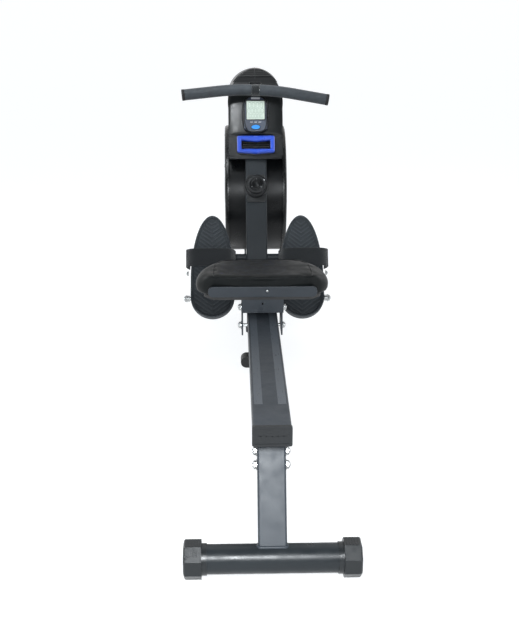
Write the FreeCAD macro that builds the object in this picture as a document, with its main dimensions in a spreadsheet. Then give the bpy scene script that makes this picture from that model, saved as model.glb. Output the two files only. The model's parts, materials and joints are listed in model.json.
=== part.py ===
import FreeCAD, Part
import math
import os
import re
import Sketcher

# Rowing machine, millimetres. +Z is up and +X is the rower's right. +Y points forwards, from the rear foot
# to the flywheel. The origin is on the floor under the middle of the machine.

Vector = FreeCAD.Vector
Placement = FreeCAD.Placement
Rotation = FreeCAD.Rotation

doc = FreeCAD.newDocument("RowingMachine")
sheet = doc.addObject("Spreadsheet::Sheet", "Sizes")
NODES = {}

SIZES = {
    # the play of a turning part on its pin, and of a fixed one in its hole
    "bore_gap": 0.06, "hole_gap": 0.05,
    # bolts across the machine
    "washer_rim": 1.5, "washer_thick": 1.5,
    # rail: the long tube that the seat rolls on
    "rail_rear_y": -854.5, "rail_length": 1140, "rail_width": 75, "rail_height": 40,
    "rail_wall": 2.5, "rail_corner": 4, "rail_top_z": 297, "cap_lip": 1.2, "cap_plug": 25,
    "cap_face": 7, "cap_gap": 4, "stop_gap": 1.5, "stop_width": 64,
    # rear post and foot
    "rear_foot_y": -901.5, "foot_z": 36, "post_lean": 26.7, "post_width": 56, "post_depth": 38,
    "post_wall": 2, "post_corner": 4, "post_top_gap": 2, "stub_clearance": 0.3, "stub_wall": 3,
    "stub_start": 150, "stub_corner": 2.5, "post_blank": 320, "post_bolt_low": 180,
    "post_bolt_high": 207, "post_bolt_radius": 4, "foot_tube_radius": 29, "foot_tube_wall": 2,
    "foot_tube_gap": 0.1, "rear_foot_half": 171.5, "front_foot_half": 205, "foot_cap_flats": 72,
    "foot_cap_width": 34, "foot_cap_chamfer": 2.5, "foot_cap_end": 6, "foot_collar_width": 10,
    "foot_collar_radius": 31,
    # hinge between rail and main frame
    "hinge_y": 305.5, "hinge_z": 240, "hinge_pin_radius": 5, "cheek_inner": 33, "cheek_thick": 4,
    "cheek_corner": 6, "cheek_boss_radius": 20, "hinge_plate_inner": 27, "hinge_plate_thick": 4,
    "hinge_plate_run": 110, "hinge_plate_edge": 10, "lock_reach": 34, "lock_drop": 35,
    "lock_radius": 4, "lock_slot_half": 4.6, "lock_width": 22, "lock_core_radius": 17,
    "lock_lobe_radius": 7, "lock_lobe_circle": 16, "lock_nut_radius": 7, "fold_angle": 70,
    # main frame
    "beam_rear_y": 182.5, "beam_width": 60, "beam_height": 40, "beam_z": 54, "beam_wall": 2.5,
    "beam_corner": 4, "front_foot_y": 860.5, "mid_foot_y": 203.5, "mid_foot_height": 34,
    "mid_foot_width": 106, "mid_foot_depth": 40, "mast_y": 304.2, "mast_z": 45, "mast_lean": 25,
    "mast_width": 65, "mast_depth": 40, "mast_wall": 2.5, "mast_length": 656, "mast_corner": 4,
    "plate_inner": 30, "plate_thick": 5, "plate_width": 60, "plate_foot_half": 60,
    "plate_foot_height": 40, "plate_shoulder": 110, "plate_corner": 5, "plate_ear_radius": 14,
    "small_pin_radius": 3,
    # pedals
    "axle_t": 128, "pedal_tilt": 60.2, "pedal_x": 137, "pedal_half": 67, "pedal_length": 326,
    "pedal_flank": 120, "pedal_thick": 8, "pedal_rim": 24, "pedal_rim_wall": 5,
    "pedal_rim_full": 25, "pedal_rim_end": 105, "pedal_axle_s": 70, "pedal_axle_n": 30,
    "pedal_axle_radius": 6, "pedal_lug_width": 14, "pedal_lug_offset": 48, "pedal_lug_radius": 15,
    "stop_bar_t": 256, "stop_bar_radius": 10.8, "stop_bar_half": 175, "pedal_rib_thick": 4,
    "pedal_rib_depth": 10, "pedal_rib_x": 42, "pedal_rib_length": 190, "strap_s": 155,
    "strap_width": 55, "strap_thick": 3, "strap_height": 46, "strap_gap": 0.6, "strap_hem": 6,
    "stud_radius": 3, "stud_head_radius": 5.5, "stud_tab_radius": 7, "stud_back": 12,
    "stud_drop": 4,
    # flywheel drive inside the shroud
    "wheel_y": 725.5, "wheel_z": 425, "flywheel_radius": 150, "flywheel_low_x": -12,
    "flywheel_width": 36, "rim_width": 24, "bearing_wall": 6.5, "bearing_width": 9,
    "bearing_offset": 13.4, "neck_radius": 15, "hub_radius": 30, "wheel_axle_radius": 8.5,
    "wheel_nut_radius": 13, "wheel_nut_width": 7, "spool_y": 705.5, "spool_z": 660,
    "spool_radius": 30, "spool_flange": 45, "spool_width": 28, "spool_axle_radius": 6,
    "spool_cheek": 1.8, "spool_nut_radius": 10, "spool_nut_width": 6, "clutch_radius": 13,
    "spring_x": 22.5, "spring_width": 10, "case_width": 12, "case_wall": 2, "drive_radius": 80,
    "driven_radius": 22, "belt_low_x": -29, "belt_width": 12, "belt_thick": 2.5, "belt_gap": 0.3,
    "brake_inner": 153, "magnet_thick": 8, "magnet_gap": 0.5, "brake_thick": 8,
    "brake_eye_radius": 9, "brake_pivot_angle": 50, "brake_end_angle": 105, "cable_radius": 2.4,
    # shroud
    "shroud_top_z": 823, "shoulder_y": 668, "shoulder_z": 812, "brow_forward": 124, "brow_z": 727,
    "arch_low_z": 712, "arch_side": 0.765, "arch_rise": 0.68, "fascia_run": 250, "slot_width": 34,
    "slot_height": 13, "mast_clearance": 1.5, "cover_edge": 8, "dish_radius": 150, "dish_wall": 4,
    "drum_radius": 200, "shroud_half": 85, "shroud_wall": 3, "cover_radius": 212,
    "cover_thick": 12.5, "fascia_y": 511.5, "fascia_z": 566, "fascia_lean": 27, "fascia_thick": 6,
    "fascia_corner": 7, "panel_gap": 0.1, "slot_w": 241,
    # console, handle rest and knob
    "console_w": 140, "console_half": 36, "console_half_length": 59, "console_thick": 13,
    "console_edge": 3, "window_width": 56, "window_height": 60, "window_drop": 18, "lens_gap": 0.2,
    "button_gap": 0.4, "button_w": 97, "button_radius": 9, "button_travel": 1.5, "rest_w": 42.5,
    "rest_half": 58, "rest_half_height": 27.5, "rest_ring": 13, "rest_thick": 14, "rest_bow": 4,
    "rest_corner": 5, "rest_chamfer": 2.5, "window_corner": 3, "rib_pitch": 6.5, "knob_t": 474,
    "knob_base_width": 60, "knob_base_length": 86, "knob_base_thick": 5, "knob_radius": 33,
    "knob_skirt": 37, "knob_skirt_depth": 8, "knob_height": 30, "knob_hole_radius": 7,
    "knob_stem_radius": 4, "knob_base_drop": 6, "knob_base_corner": 9, "knob_gap": 0.4,
    "knob_flute": 3.5, "knob_grip_inset": 6,
    # handle
    "handle_x": 0.24, "handle_y": 575.5, "handle_z": 768, "handle_roll": 2, "handle_half": 227.5,
    "bar_radius": 12.5, "bar_wall": 1.5, "grip_gap": 26, "loop_gap": 0.9, "tape_length": 72,
    "guide_distance": 82, "guide_offset": 11, "guide_radius": 9, "guide_width": 30,
    "grip_radius": 17, "handle_drop": 22, "handle_back": 10, "handle_bend_x": 62,
    "strap_tape_width": 24, "strap_tape_thick": 2, "pull_slope": 12, "strap_loop_radius": 17.5,
    # seat
    "seat_y": -128.5, "seat_back": 550, "seat_forward": 150, "stop_size": 16,
    "carriage_half": 52.5, "carriage_length": 170, "carriage_top_z": 342, "carriage_low_z": 306,
    "carriage_plate": 4, "ear_length": 88, "ear_low_z": 232, "roller_bolt_radius": 4,
    "roller_core_radius": 7, "roller_width": 18, "roller_x": 24, "roller_radius": 14,
    "under_roller_radius": 12, "roller_gap": 0.25, "roller_spread": 53, "board_top_z": 350,
    "pad_top_z": 408, "pad_rear_y": -239.5, "pad_length": 235, "pad_half": 168,
    "pad_rear_share": 0.83, "pad_front_share": 0.6, "pad_flank_rear": 50, "pad_flank_front": 105,
    "pad_corner": 22, "pad_chamfer": 12, "board_inset": 22, "board_corner": 15,
    # transport wheels
    "castor_y": 913.5, "castor_z": 25, "castor_radius": 22, "castor_width": 20, "castor_x": 120,
    "castor_pin_radius": 4, "castor_lug_thick": 4,
}

WORD = re.compile(r"[a-z_][a-z0-9_]*")
TURN = {
    "X": Rotation(Vector(0, 1, 0), 90),
    "Y": Rotation(Vector(1, 0, 0), -90),
    "Z": Rotation(),
}
ALONG_X = Vector(1, 0, 0)
ALONG_Y = Vector(0, 1, 0)
ALONG_Z = Vector(0, 0, 1)
REARWARD = Vector(0, -1, 0)
THROUGH = 20.0  # longer than any plate is thick, for the tools that cut through one
FORWARD_LEAN = -ALONG_X
REARWARD_LEAN = ALONG_X


def fill_sheet():
    for row, (alias, value) in enumerate(SIZES.items(), start=1):
        sheet.set(f"A{row}", alias)
        sheet.set(f"B{row}", str(value))
        sheet.setAlias(f"B{row}", alias)
    doc.recompute()


def size(alias):
    return float(getattr(sheet, alias))


def formula(text):
    """Turns the sheet's aliases in a formula into references to its cells."""
    return WORD.sub(lambda word: "Sizes." + word[0] if word[0] in SIZES else word[0], str(text))


def bind(item, **formulas):
    for path, text in formulas.items():
        item.setExpression(path.replace("__", "."), formula(text))
    return item


def node(label, item):
    item.Label = label
    NODES[label] = item
    return item


def box(name, lengths, corner):
    item = doc.addObject("Part::Box", name)
    bind(item, Length=lengths[0], Width=lengths[1], Height=lengths[2])
    return bind(item, Placement__Base__x=corner[0], Placement__Base__y=corner[1],
                Placement__Base__z=corner[2])


def rod(name, radius, length, centre, axis="X"):
    """A cylinder centred on a point, along one row axis."""
    item = doc.addObject("Part::Cylinder", name)
    item.Placement = Placement(Vector(), TURN[axis])
    start = dict(zip("XYZ", centre))
    start[axis] = f"{start[axis]} - ({length}) / 2"
    bind(item, Radius=radius, Height=length)
    return bind(item, Placement__Base__x=start["X"], Placement__Base__y=start["Y"],
                Placement__Base__z=start["Z"])


def fuse(name, *parts):
    item = doc.addObject("Part::MultiFuse", name)
    item.Shapes = list(parts)
    return item


def group(name, *parts):
    """Several separate solids in one node."""
    item = doc.addObject("Part::Compound", name)
    item.Links = list(parts)
    return item


def cut(name, base, *tools):
    item = doc.addObject("Part::Cut", name)
    item.Base = base
    item.Tool = tools[0] if len(tools) == 1 else fuse(name + "_tools", *tools)
    return item


def pipe(name, outer, inner, length, centre, axis="X"):
    return cut(name, rod(name + "_outer", outer, length, centre, axis),
               rod(name + "_bore", inner, f"({length}) + 2", centre, axis))


def mirrored(name, source):
    """The same part on the other side of the machine."""
    item = doc.addObject("Part::Mirroring", name)
    item.Source = source
    item.Normal = ALONG_X
    return item


def feature(name, shape):
    item = doc.addObject("Part::Feature", name)
    item.Shape = Part.makeCompound([shape])
    return item


def set_frame(item, axis, angle, y, z):
    """Leans a part drawn in its own frame and moves it to its place."""
    item.Placement = Placement(Vector(), Rotation(axis, 10))
    bind(item, Placement__Rotation__Angle=angle)
    return bind(item, Placement__Base__y=y, Placement__Base__z=z)


def on_mast(item):
    return set_frame(item, FORWARD_LEAN, "mast_lean", "mast_y", "mast_z")


def on_fascia(item):
    return set_frame(item, FORWARD_LEAN, "fascia_lean", "fascia_y", "fascia_z")


def on_post(item):
    return set_frame(item, FORWARD_LEAN, "post_lean", "rear_foot_y", "foot_z")


def on_pedal(item):
    """A pedal's frame starts at its heel, placed so that its axle lies on the mast's centre line."""
    y = ("mast_y + axle_t * sin(mast_lean)"
         " - pedal_axle_s * cos(pedal_tilt) - pedal_axle_n * sin(pedal_tilt)")
    z = ("mast_z + axle_t * cos(mast_lean)"
         " - pedal_axle_s * sin(pedal_tilt) + pedal_axle_n * cos(pedal_tilt)")
    return set_frame(item, REARWARD_LEAN, "pedal_tilt", y, z)


def on_handle(item):
    return bind(set_frame(item, ALONG_Y, "handle_roll", "handle_y", "handle_z"),
                Placement__Base__x="handle_x")


def origin_plane(body, role):
    return next(plane for plane in body.Origin.OriginFeatures if plane.Role == role)


def rectangle(body, name, width, depth):
    """A rectangle sketched round the body's origin."""
    sketch = body.newObject("Sketcher::SketchObject", name)
    sketch.AttachmentSupport = [(origin_plane(body, "XY_Plane"), "")]
    sketch.MapMode = "FlatFace"
    corners = [Vector(-20, -10, 0), Vector(20, -10, 0), Vector(20, 10, 0), Vector(-20, 10, 0)]
    for side in range(4):
        sketch.addGeometry(Part.LineSegment(corners[side], corners[(side + 1) % 4]), False)
    for side in range(4):
        sketch.addConstraint(Sketcher.Constraint("Coincident", side, 2, (side + 1) % 4, 1))
    for side, direction in enumerate(("Horizontal", "Vertical", "Horizontal", "Vertical")):
        sketch.addConstraint(Sketcher.Constraint(direction, side))
    sketch.addConstraint(Sketcher.Constraint("Symmetric", 0, 1, 2, 1, -1, 1))
    across = sketch.addConstraint(Sketcher.Constraint("DistanceX", 0, 1, 0, 2, 40))
    along = sketch.addConstraint(Sketcher.Constraint("DistanceY", 1, 1, 1, 2, 20))
    sketch.setExpression(f"Constraints[{across}]", formula(width))
    sketch.setExpression(f"Constraints[{along}]", formula(depth))
    return sketch


def edges_along(shape, direction):
    names = []
    for number, edge in enumerate(shape.Edges, start=1):
        run = edge.Vertexes[-1].Point - edge.Vertexes[0].Point
        if run.Length > 1 and abs(run.normalize().dot(direction)) > 0.999:
            names.append(f"Edge{number}")
    return names


def square_tube(name, width, depth, wall, corner, length):
    """A rounded rectangular tube that stands on its own origin, along +Z."""
    body = doc.addObject("PartDesign::Body", name)
    pad = body.newObject("PartDesign::Pad", name + "_pad")
    pad.Profile = rectangle(body, name + "_outside", width, depth)
    bind(pad, Length=length)
    body.Tip = pad
    doc.recompute()
    rounded = body.newObject("PartDesign::Fillet", name + "_corners")
    rounded.Base = (pad, edges_along(pad.Shape, ALONG_Z))
    bind(rounded, Radius=corner)
    doc.recompute()
    bore = body.newObject("PartDesign::Pocket", name + "_bore")
    bore.Profile = rectangle(body, name + "_inside", f"{width} - 2 * {wall}", f"{depth} - 2 * {wall}")
    bore.Type = "ThroughAll"
    bore.Reversed = True
    body.Tip = bore
    doc.recompute()
    return body


def along_y(item, y, z):
    """Lays a part that stands along +Z down along +Y."""
    item.Placement = Placement(Vector(), TURN["Y"])
    return bind(item, Placement__Base__y=y, Placement__Base__z=z)


def rounded_plate(points, axis, low, high, radius):
    """A flat plate with rounded corners: a polygon across an axis, from low to high along it."""
    lift = {"X": lambda a, b: Vector(low, a, b),
            "Y": lambda a, b: Vector(a, low, b),
            "Z": lambda a, b: Vector(a, b, low)}
    run = {"X": ALONG_X, "Y": ALONG_Y, "Z": ALONG_Z}[axis]
    corners = [lift[axis](a, b) for a, b in points]
    solid = Part.Face(Part.makePolygon(corners + corners[:1])).extrude(run * (high - low))
    if radius:
        chosen = [edge for edge in solid.Edges
                  if abs((edge.Vertexes[-1].Point - edge.Vertexes[0].Point).normalize().dot(run)) > 0.999]
        solid = solid.makeFillet(radius, chosen)
    return solid


def polar(centre_y, centre_z, radius, degrees, x=0.0):
    angle = math.radians(degrees)
    return Vector(x, centre_y + radius * math.cos(angle), centre_z + radius * math.sin(angle))


# ---------------------------------------------------------------- rail and rear foot

def make_rail():
    tube = square_tube("rail_tube", "rail_width", "rail_height", "rail_wall", "rail_corner",
                       "rail_length")
    along_y(tube, "rail_rear_y", "rail_top_z - rail_height / 2")
    node("rail_beam", tube)


def make_rail_end_cap():
    face = box("cap_face_block", ("rail_width + 2 * cap_lip", "cap_face", "rail_height + 2 * cap_lip"),
               ("-rail_width / 2 - cap_lip", "rail_rear_y - cap_face",
                "rail_top_z - rail_height - cap_lip"))
    plug = box("cap_plug_block",
               ("rail_width - 2 * rail_wall - 2 * cap_gap", "cap_plug",
                "rail_height - 2 * rail_wall - 2 * cap_gap"),
               ("-rail_width / 2 + rail_wall + cap_gap", "rail_rear_y",
                "rail_top_z - rail_height + rail_wall + cap_gap"))
    recess = box("cap_recess", ("rail_width - 2 * cap_gap", 2, "rail_height - 2 * cap_gap"),
                 ("-rail_width / 2 + cap_gap", "rail_rear_y - cap_face - 1",
                  "rail_top_z - rail_height + cap_gap"))
    doc.recompute()
    rounded = doc.addObject("Part::Fillet", "cap_rounded")
    rounded.Base = face
    corner = size("rail_corner")
    rounded.Edges = [(int(edge[4:]), corner, corner) for edge in edges_along(face.Shape, ALONG_Y)]
    node("rail_end_cap", cut("cap_cut", fuse("cap_whole", rounded, plug), recess))


def make_rail_stops():
    """Rubber-faced blocks under the rail that stop the carriage at each end of its run."""
    blocks = []
    rear = "seat_y - seat_back - under_roller_radius - stop_size - stop_gap"
    front = "seat_y + seat_forward + under_roller_radius + stop_gap"
    for number, y in enumerate((rear, front)):
        blocks.append(box(f"stop_block_{number}", ("stop_width", "stop_size", "stop_size"),
                          ("-stop_width / 2", y, "rail_top_z - rail_height - stop_size")))
    node("rail_stops", group("rail_stop_pair", *blocks))


def make_hinge_plates():
    """Two plates welded under the rail that reach the hinge pin, with the arc slot of the lock."""
    y, z = size("hinge_y"), size("hinge_z")
    underside = size("rail_top_z") - size("rail_height")
    reach, low = size("lock_reach"), size("hinge_plate_inner")
    rail_front = size("rail_rear_y") + size("rail_length")
    rear = rail_front - size("hinge_plate_run")
    outline = [(rear, underside), (rear, underside - 14), (y - 20, z - 30), (y, z - reach - 9),
               (y + 4, z + 20), (rail_front, underside)]
    profile = rounded_plate(outline, "X", low, low + size("hinge_plate_thick"), 0)
    disc = Part.makeCylinder(reach + size("hinge_plate_edge"), size("hinge_plate_thick"),
                             Vector(low, y, z), ALONG_X)
    outside = low - THROUGH / 2
    above = Part.makeBox(THROUGH, 200, 100, Vector(outside, y - 150, underside))
    blank = profile.fuse(disc).cut(above)
    half, turn = size("lock_slot_half"), size("fold_angle")
    start = -size("lock_drop")
    ring = Part.makeCylinder(reach + half, THROUGH, Vector(outside, y, z), ALONG_X)
    ring = ring.cut(Part.makeCylinder(reach - half, THROUGH, Vector(outside, y, z), ALONG_X))
    wedge_points = [Vector(outside, y, z)]
    wedge_points += [polar(y, z, 90, start + turn * part / 2, outside) for part in range(3)]
    wedge = Part.Face(Part.makePolygon(wedge_points + wedge_points[:1])).extrude(ALONG_X * THROUGH)
    ends = [Part.makeCylinder(half, THROUGH, polar(y, z, reach, angle, outside), ALONG_X)
            for angle in (start, start + turn)]
    slot = ring.common(wedge).fuse(ends)
    bore = Part.makeCylinder(size("hinge_pin_radius") + size("bore_gap"), THROUGH,
                             Vector(outside, y, z), ALONG_X)
    right = feature("hinge_plate_right", blank.cut(slot).cut(bore))
    return [right, mirrored("hinge_plate_left", right)]


def make_rear_post():
    tube = square_tube("post_tube", "post_width", "post_depth", "post_wall", "post_corner",
                       "post_blank")
    on_post(tube)
    above = box("above_rail", (200, 400, 200),
                (-100, "rear_foot_y - 100", "rail_top_z - rail_height - post_top_gap"))
    foot_space = rod("post_foot_space", "foot_tube_radius", 200, (0, "rear_foot_y", "foot_z"))
    node("rear_post", cut("post_cut", tube, above, foot_space, *post_holes("post")))


def post_holes(name):
    """Rods in the places of the two bolts that join the post to its stub."""
    holes = []
    for place in ("post_bolt_low", "post_bolt_high"):
        hole = rod(f"{name}_{place}_rod", "post_bolt_radius + hole_gap", 90, (0, 0, place))
        holes.append(on_post(group(f"{name}_{place}_hole", hole)))
    return holes


def make_post_stub():
    """The stub welded under the rail, which the post slides over and is bolted to."""
    tube = square_tube("stub_tube", "post_width - 2 * post_wall - 2 * stub_clearance",
                       "post_depth - 2 * post_wall - 2 * stub_clearance", "stub_wall", "stub_corner",
                       "post_blank")
    on_post(tube)
    below = on_post(group("stub_below", box("stub_below_box", (100, 100, "stub_start"), (-50, -50, 0))))
    above = box("stub_above", (200, 400, 200), (-100, "rear_foot_y - 100", "rail_top_z - rail_height"))
    return cut("stub_cut", tube, below, above, *post_holes("stub"))


def make_rail_brackets():
    """What is welded under the rail: two hinge plates at its front and the post's stub at its rear."""
    node("rail_brackets", group("rail_bracket_set", make_post_stub(), *make_hinge_plates()))


def bolt_across(name, radius, half_grip, y, z, head=6, head_radius=7):
    """A bolt along X with a washer, a domed head and a nut outside the two faces that it clamps."""
    shank = rod(name + "_shank", radius, f"2 * ({half_grip} + {head} + 2)", (0, y, z))
    washers = [rod(f"{name}_washer_{side}", f"{head_radius} + washer_rim", "washer_thick",
                   (f"{side} * ({half_grip} + washer_thick / 2)", y, z))
               for side in (-1, 1)]
    heads = [rod(f"{name}_head_{side}", head_radius, head,
                 (f"{side} * ({half_grip} + washer_thick + {head} / 2)", y, z))
             for side in (-1, 1)]
    return fuse(name, shank, *washers, *heads)


def make_post_bolts():
    bolts = [on_post(bolt_across(f"post_bolt_{number}", "post_bolt_radius", "post_width / 2", 0, place))
             for number, place in enumerate(("post_bolt_low", "post_bolt_high"))]
    node("post_bolts", group("post_bolt_pair", *bolts))


def octagon_cap(name, side, half, y):
    """An eight-sided foot cap with a flat to stand on, and a round collar on its inner side."""
    flats, width = size("foot_cap_flats"), size("foot_cap_width")
    points = [polar(size(y), size("foot_z"), flats / 2 / math.cos(math.pi / 8), 22.5 + 45 * corner,
                    size(half) - width)
              for corner in range(8)]
    block = Part.Face(Part.makePolygon(points + points[:1])).extrude(ALONG_X * width)
    outer_edges = [edge for edge in block.Edges if edge.CenterOfMass.x > size(half) - 0.1]
    block = block.makeChamfer(size("foot_cap_chamfer"), outer_edges)
    collar_width = size("foot_collar_width")
    start = Vector(size(half) - width - collar_width, size(y), size("foot_z"))
    collar = Part.makeCylinder(size("foot_collar_radius"), collar_width, start, ALONG_X)
    socket = Part.makeCylinder(size("foot_tube_radius"), width + collar_width - size("foot_cap_end"),
                               start, ALONG_X)
    shape = block.fuse(collar).cut(socket)
    if side < 0:
        shape = shape.mirror(Vector(0, 0, 0), ALONG_X)
    return feature(name, shape)


def make_feet():
    """The floor tubes with their octagonal caps, the front one with the transport wheels' brackets."""
    tubes = {}
    for place, half, y in (("rear", "rear_foot_half", "rear_foot_y"),
                           ("front", "front_foot_half", "front_foot_y")):
        tube = pipe(f"{place}_foot_pipe", "foot_tube_radius", "foot_tube_radius - foot_tube_wall",
                    f"2 * ({half} - foot_cap_end - foot_tube_gap)", (0, y, "foot_z"))
        tubes[place] = tube
        caps = [octagon_cap(f"{place}_cap_{side}", side, half, y) for side in (-1, 1)]
        node(f"{place}_foot_caps", group(f"{place}_cap_pair", *caps))
    node("rear_foot_tube", tubes["rear"])
    node("front_foot_tube", group("front_foot_set", tubes["front"], make_castors()))


# ---------------------------------------------------------------- main frame

def make_base_beam():
    tube = square_tube("beam_tube", "beam_width", "beam_height", "beam_wall", "beam_corner",
                       "front_foot_y - beam_rear_y")
    along_y(tube, "beam_rear_y", "beam_z")
    foot_space = rod("beam_foot_space", "foot_tube_radius", 200, (0, "front_foot_y", "foot_z"))
    ahead = box("beam_ahead", (200, 60, 200), (-100, "front_foot_y", -50))
    node("base_beam", cut("beam_cut", tube, foot_space, ahead))


def make_mid_foot():
    """The round-ended rest under the rear end of the base beam."""
    radius, width, depth = size("mid_foot_height") / 2, size("mid_foot_width"), size("mid_foot_depth")
    low_y = size("mid_foot_y") - depth / 2
    middle = Part.makeBox(width - 2 * radius, depth, 2 * radius, Vector(-width / 2 + radius, low_y, 0))
    ends = [Part.makeCylinder(radius, depth, Vector(side * (width / 2 - radius), low_y, radius), ALONG_Y)
            for side in (-1, 1)]
    node("mid_foot", feature("mid_foot_block", middle.fuse(ends).removeSplitter()))


def make_mast():
    tube = square_tube("mast_tube", "mast_width", "mast_depth", "mast_wall", "mast_corner", "mast_length")
    on_mast(tube)
    below = box("below_mast", (200, 400, 200), (-100, "mast_y - 200", "beam_z + beam_height / 2 - 200"))
    axle_hole = rod("mast_axle_rod", "pedal_axle_radius + hole_gap", 120, (0, 0, "axle_t"))
    bar_hole = rod("mast_bar_rod", "stop_bar_radius", 120, (0, 0, "stop_bar_t"))
    knob_hole = rod("mast_knob_rod", "knob_hole_radius", 30, (0, "-mast_depth / 2", "knob_t"), "Y")
    tools = [on_mast(group(f"mast_hole_{number}", hole))
             for number, hole in enumerate((axle_hole, bar_hole, knob_hole))]
    node("mast", cut("mast_cut", tube, below, *tools))


def make_stop_bar():
    """The cross bar through the mast that both pedals rest against."""
    bar = rod("stop_bar_rod", "stop_bar_radius", "2 * stop_bar_half", (0, 0, "stop_bar_t"))
    node("pedal_stop_bar", on_mast(group("stop_bar_whole", bar)))


def make_fold_cheeks():
    """Two cheek plates on the sides of the mast that carry the hinge pin and the lock knob."""
    y, z, low = size("hinge_y"), size("hinge_z"), size("cheek_inner")
    thick = size("cheek_thick")
    outline = [(y - 8, z + 17), (y - 16, z - 14), (y + 20, z - 78), (y + 82, z - 78), (y + 95, z - 8),
               (y + 80, z)]
    profile = rounded_plate(outline, "X", low, low + thick, size("cheek_corner"))
    boss = Part.makeCylinder(size("cheek_boss_radius"), thick, Vector(low, y, z), ALONG_X)
    outside = low - THROUGH / 2
    places = (("hinge_pin_radius", Vector(outside, y, z)),
              ("lock_radius", polar(y, z, size("lock_reach"), -size("lock_drop"), outside)),
              ("pedal_axle_radius", polar(size("mast_y"), size("mast_z"), size("axle_t"),
                                          90 - size("mast_lean"), outside)))
    holes = [Part.makeCylinder(size(radius) + size("bore_gap"), THROUGH, point, ALONG_X)
             for radius, point in places]
    right = feature("cheek_right", profile.fuse(boss).cut(holes[0].fuse(holes[1:])).removeSplitter())
    node("fold_cheeks", group("cheek_pair", right, mirrored("cheek_left", right)))


def make_fold_pin():
    node("fold_pin", bolt_across("fold_pin_bolt", "hinge_pin_radius", "cheek_inner + cheek_thick",
                                 "hinge_y", "hinge_z", head_radius=8))


def make_lock_knob():
    """The threaded lock: a rod through the cheeks and the arc slot, with a five-lobed knob at its left."""
    point = polar(size("hinge_y"), size("hinge_z"), size("lock_reach"), -size("lock_drop"))
    outer = size("cheek_inner") + size("cheek_thick")
    width, lobe_radius, circle = size("lock_width"), size("lock_lobe_radius"), size("lock_lobe_circle")
    shank = Part.makeCylinder(size("lock_radius"), 2 * outer + 26, point - Vector(outer + 20, 0, 0),
                              ALONG_X)
    left = -outer - width - 1
    core = Part.makeCylinder(size("lock_core_radius"), width, point + Vector(left, 0, 0), ALONG_X)
    lobes = [Part.makeCylinder(lobe_radius, width, polar(point.y, point.z, circle, 72 * lobe, left),
                               ALONG_X)
             for lobe in range(5)]
    nut = Part.makeCylinder(size("lock_nut_radius"), 5, point + Vector(outer + 1, 0, 0), ALONG_X)
    node("lock_knob", feature("lock_knob_shape", shank.fuse([core, nut] + lobes).removeSplitter()))


def make_axle_plates():
    """Two tall plates on the sides of the base beam that carry the flywheel and the strap drum."""
    low, thick, half = size("plate_inner"), size("plate_thick"), size("plate_width") / 2
    foot_z = size("beam_z") - size("beam_height") / 2 + 4
    wheel_y, spool_y = size("wheel_y"), size("spool_y")
    wheel_z, top = size("wheel_z"), size("spool_z") + half
    foot_half, foot_top = size("plate_foot_half"), foot_z + size("plate_foot_height")
    shoulder = foot_z + size("plate_shoulder")
    outline = [(wheel_y - foot_half, foot_z), (wheel_y + foot_half, foot_z),
               (wheel_y + foot_half, foot_top), (wheel_y + half, shoulder), (wheel_y + half, wheel_z),
               (spool_y + half, top), (spool_y - half, top), (wheel_y - half, wheel_z),
               (wheel_y - half, shoulder), (wheel_y - foot_half, foot_top)]
    shape = rounded_plate(outline, "X", low, low + thick, size("plate_corner"))
    pivot = polar(wheel_y, wheel_z, brake_pivot_radius(), size("brake_pivot_angle"), low)
    ear_radius = size("plate_ear_radius")
    ear = Part.makeCylinder(ear_radius, thick, pivot, ALONG_X)
    arm_points = [Vector(low, wheel_y + half - 8, wheel_z + 40),
                  Vector(low, wheel_y + half - 8, wheel_z + 90),
                  Vector(low, pivot.y, pivot.z + ear_radius), Vector(low, pivot.y, pivot.z - ear_radius)]
    arm = Part.Face(Part.makePolygon(arm_points + arm_points[:1])).extrude(Vector(thick, 0, 0))
    outside = Vector(THROUGH / 2, 0, 0)
    places = (("wheel_axle_radius", Vector(low, wheel_y, wheel_z)),
              ("spool_axle_radius", Vector(low, spool_y, size("spool_z"))),
              ("small_pin_radius", pivot))
    bores = [Part.makeCylinder(size(radius) + size("bore_gap"), THROUGH, point - outside, ALONG_X)
             for radius, point in places]
    blank = shape.fuse([arm, ear])
    right = feature("axle_plate_right", blank.cut(bores[0].fuse(bores[1:])).removeSplitter())
    node("axle_plates", group("axle_plate_pair", right, mirrored("axle_plate_left", right)))


# ---------------------------------------------------------------- pedals

def pedal_outline(inset, height):
    """The face of a foot plate: a round heel, short straight flanks and a long rounded toe."""
    half, flank, heel = size("pedal_half") - inset, size("pedal_flank"), size("pedal_half")
    toe = size("pedal_length") - flank - inset
    left_heel, right_heel = Vector(-half, heel, height), Vector(half, heel, height)
    left_flank, right_flank = Vector(-half, flank, height), Vector(half, flank, height)
    ellipse = Part.Ellipse(Vector(0, flank + toe, height), Vector(half, flank, height),
                           Vector(0, flank, height))
    toe_edge = Part.ArcOfEllipse(ellipse, -math.pi / 2, math.pi / 2).toShape()
    heel_edge = Part.Arc(left_heel, Vector(0, heel - half, height), right_heel).toShape()
    flanks = [Part.LineSegment(right_heel, right_flank).toShape(),
              Part.LineSegment(left_flank, left_heel).toShape()]
    return Part.Face(Part.Wire(Part.__sortEdges__([heel_edge, toe_edge] + flanks)))


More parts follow.
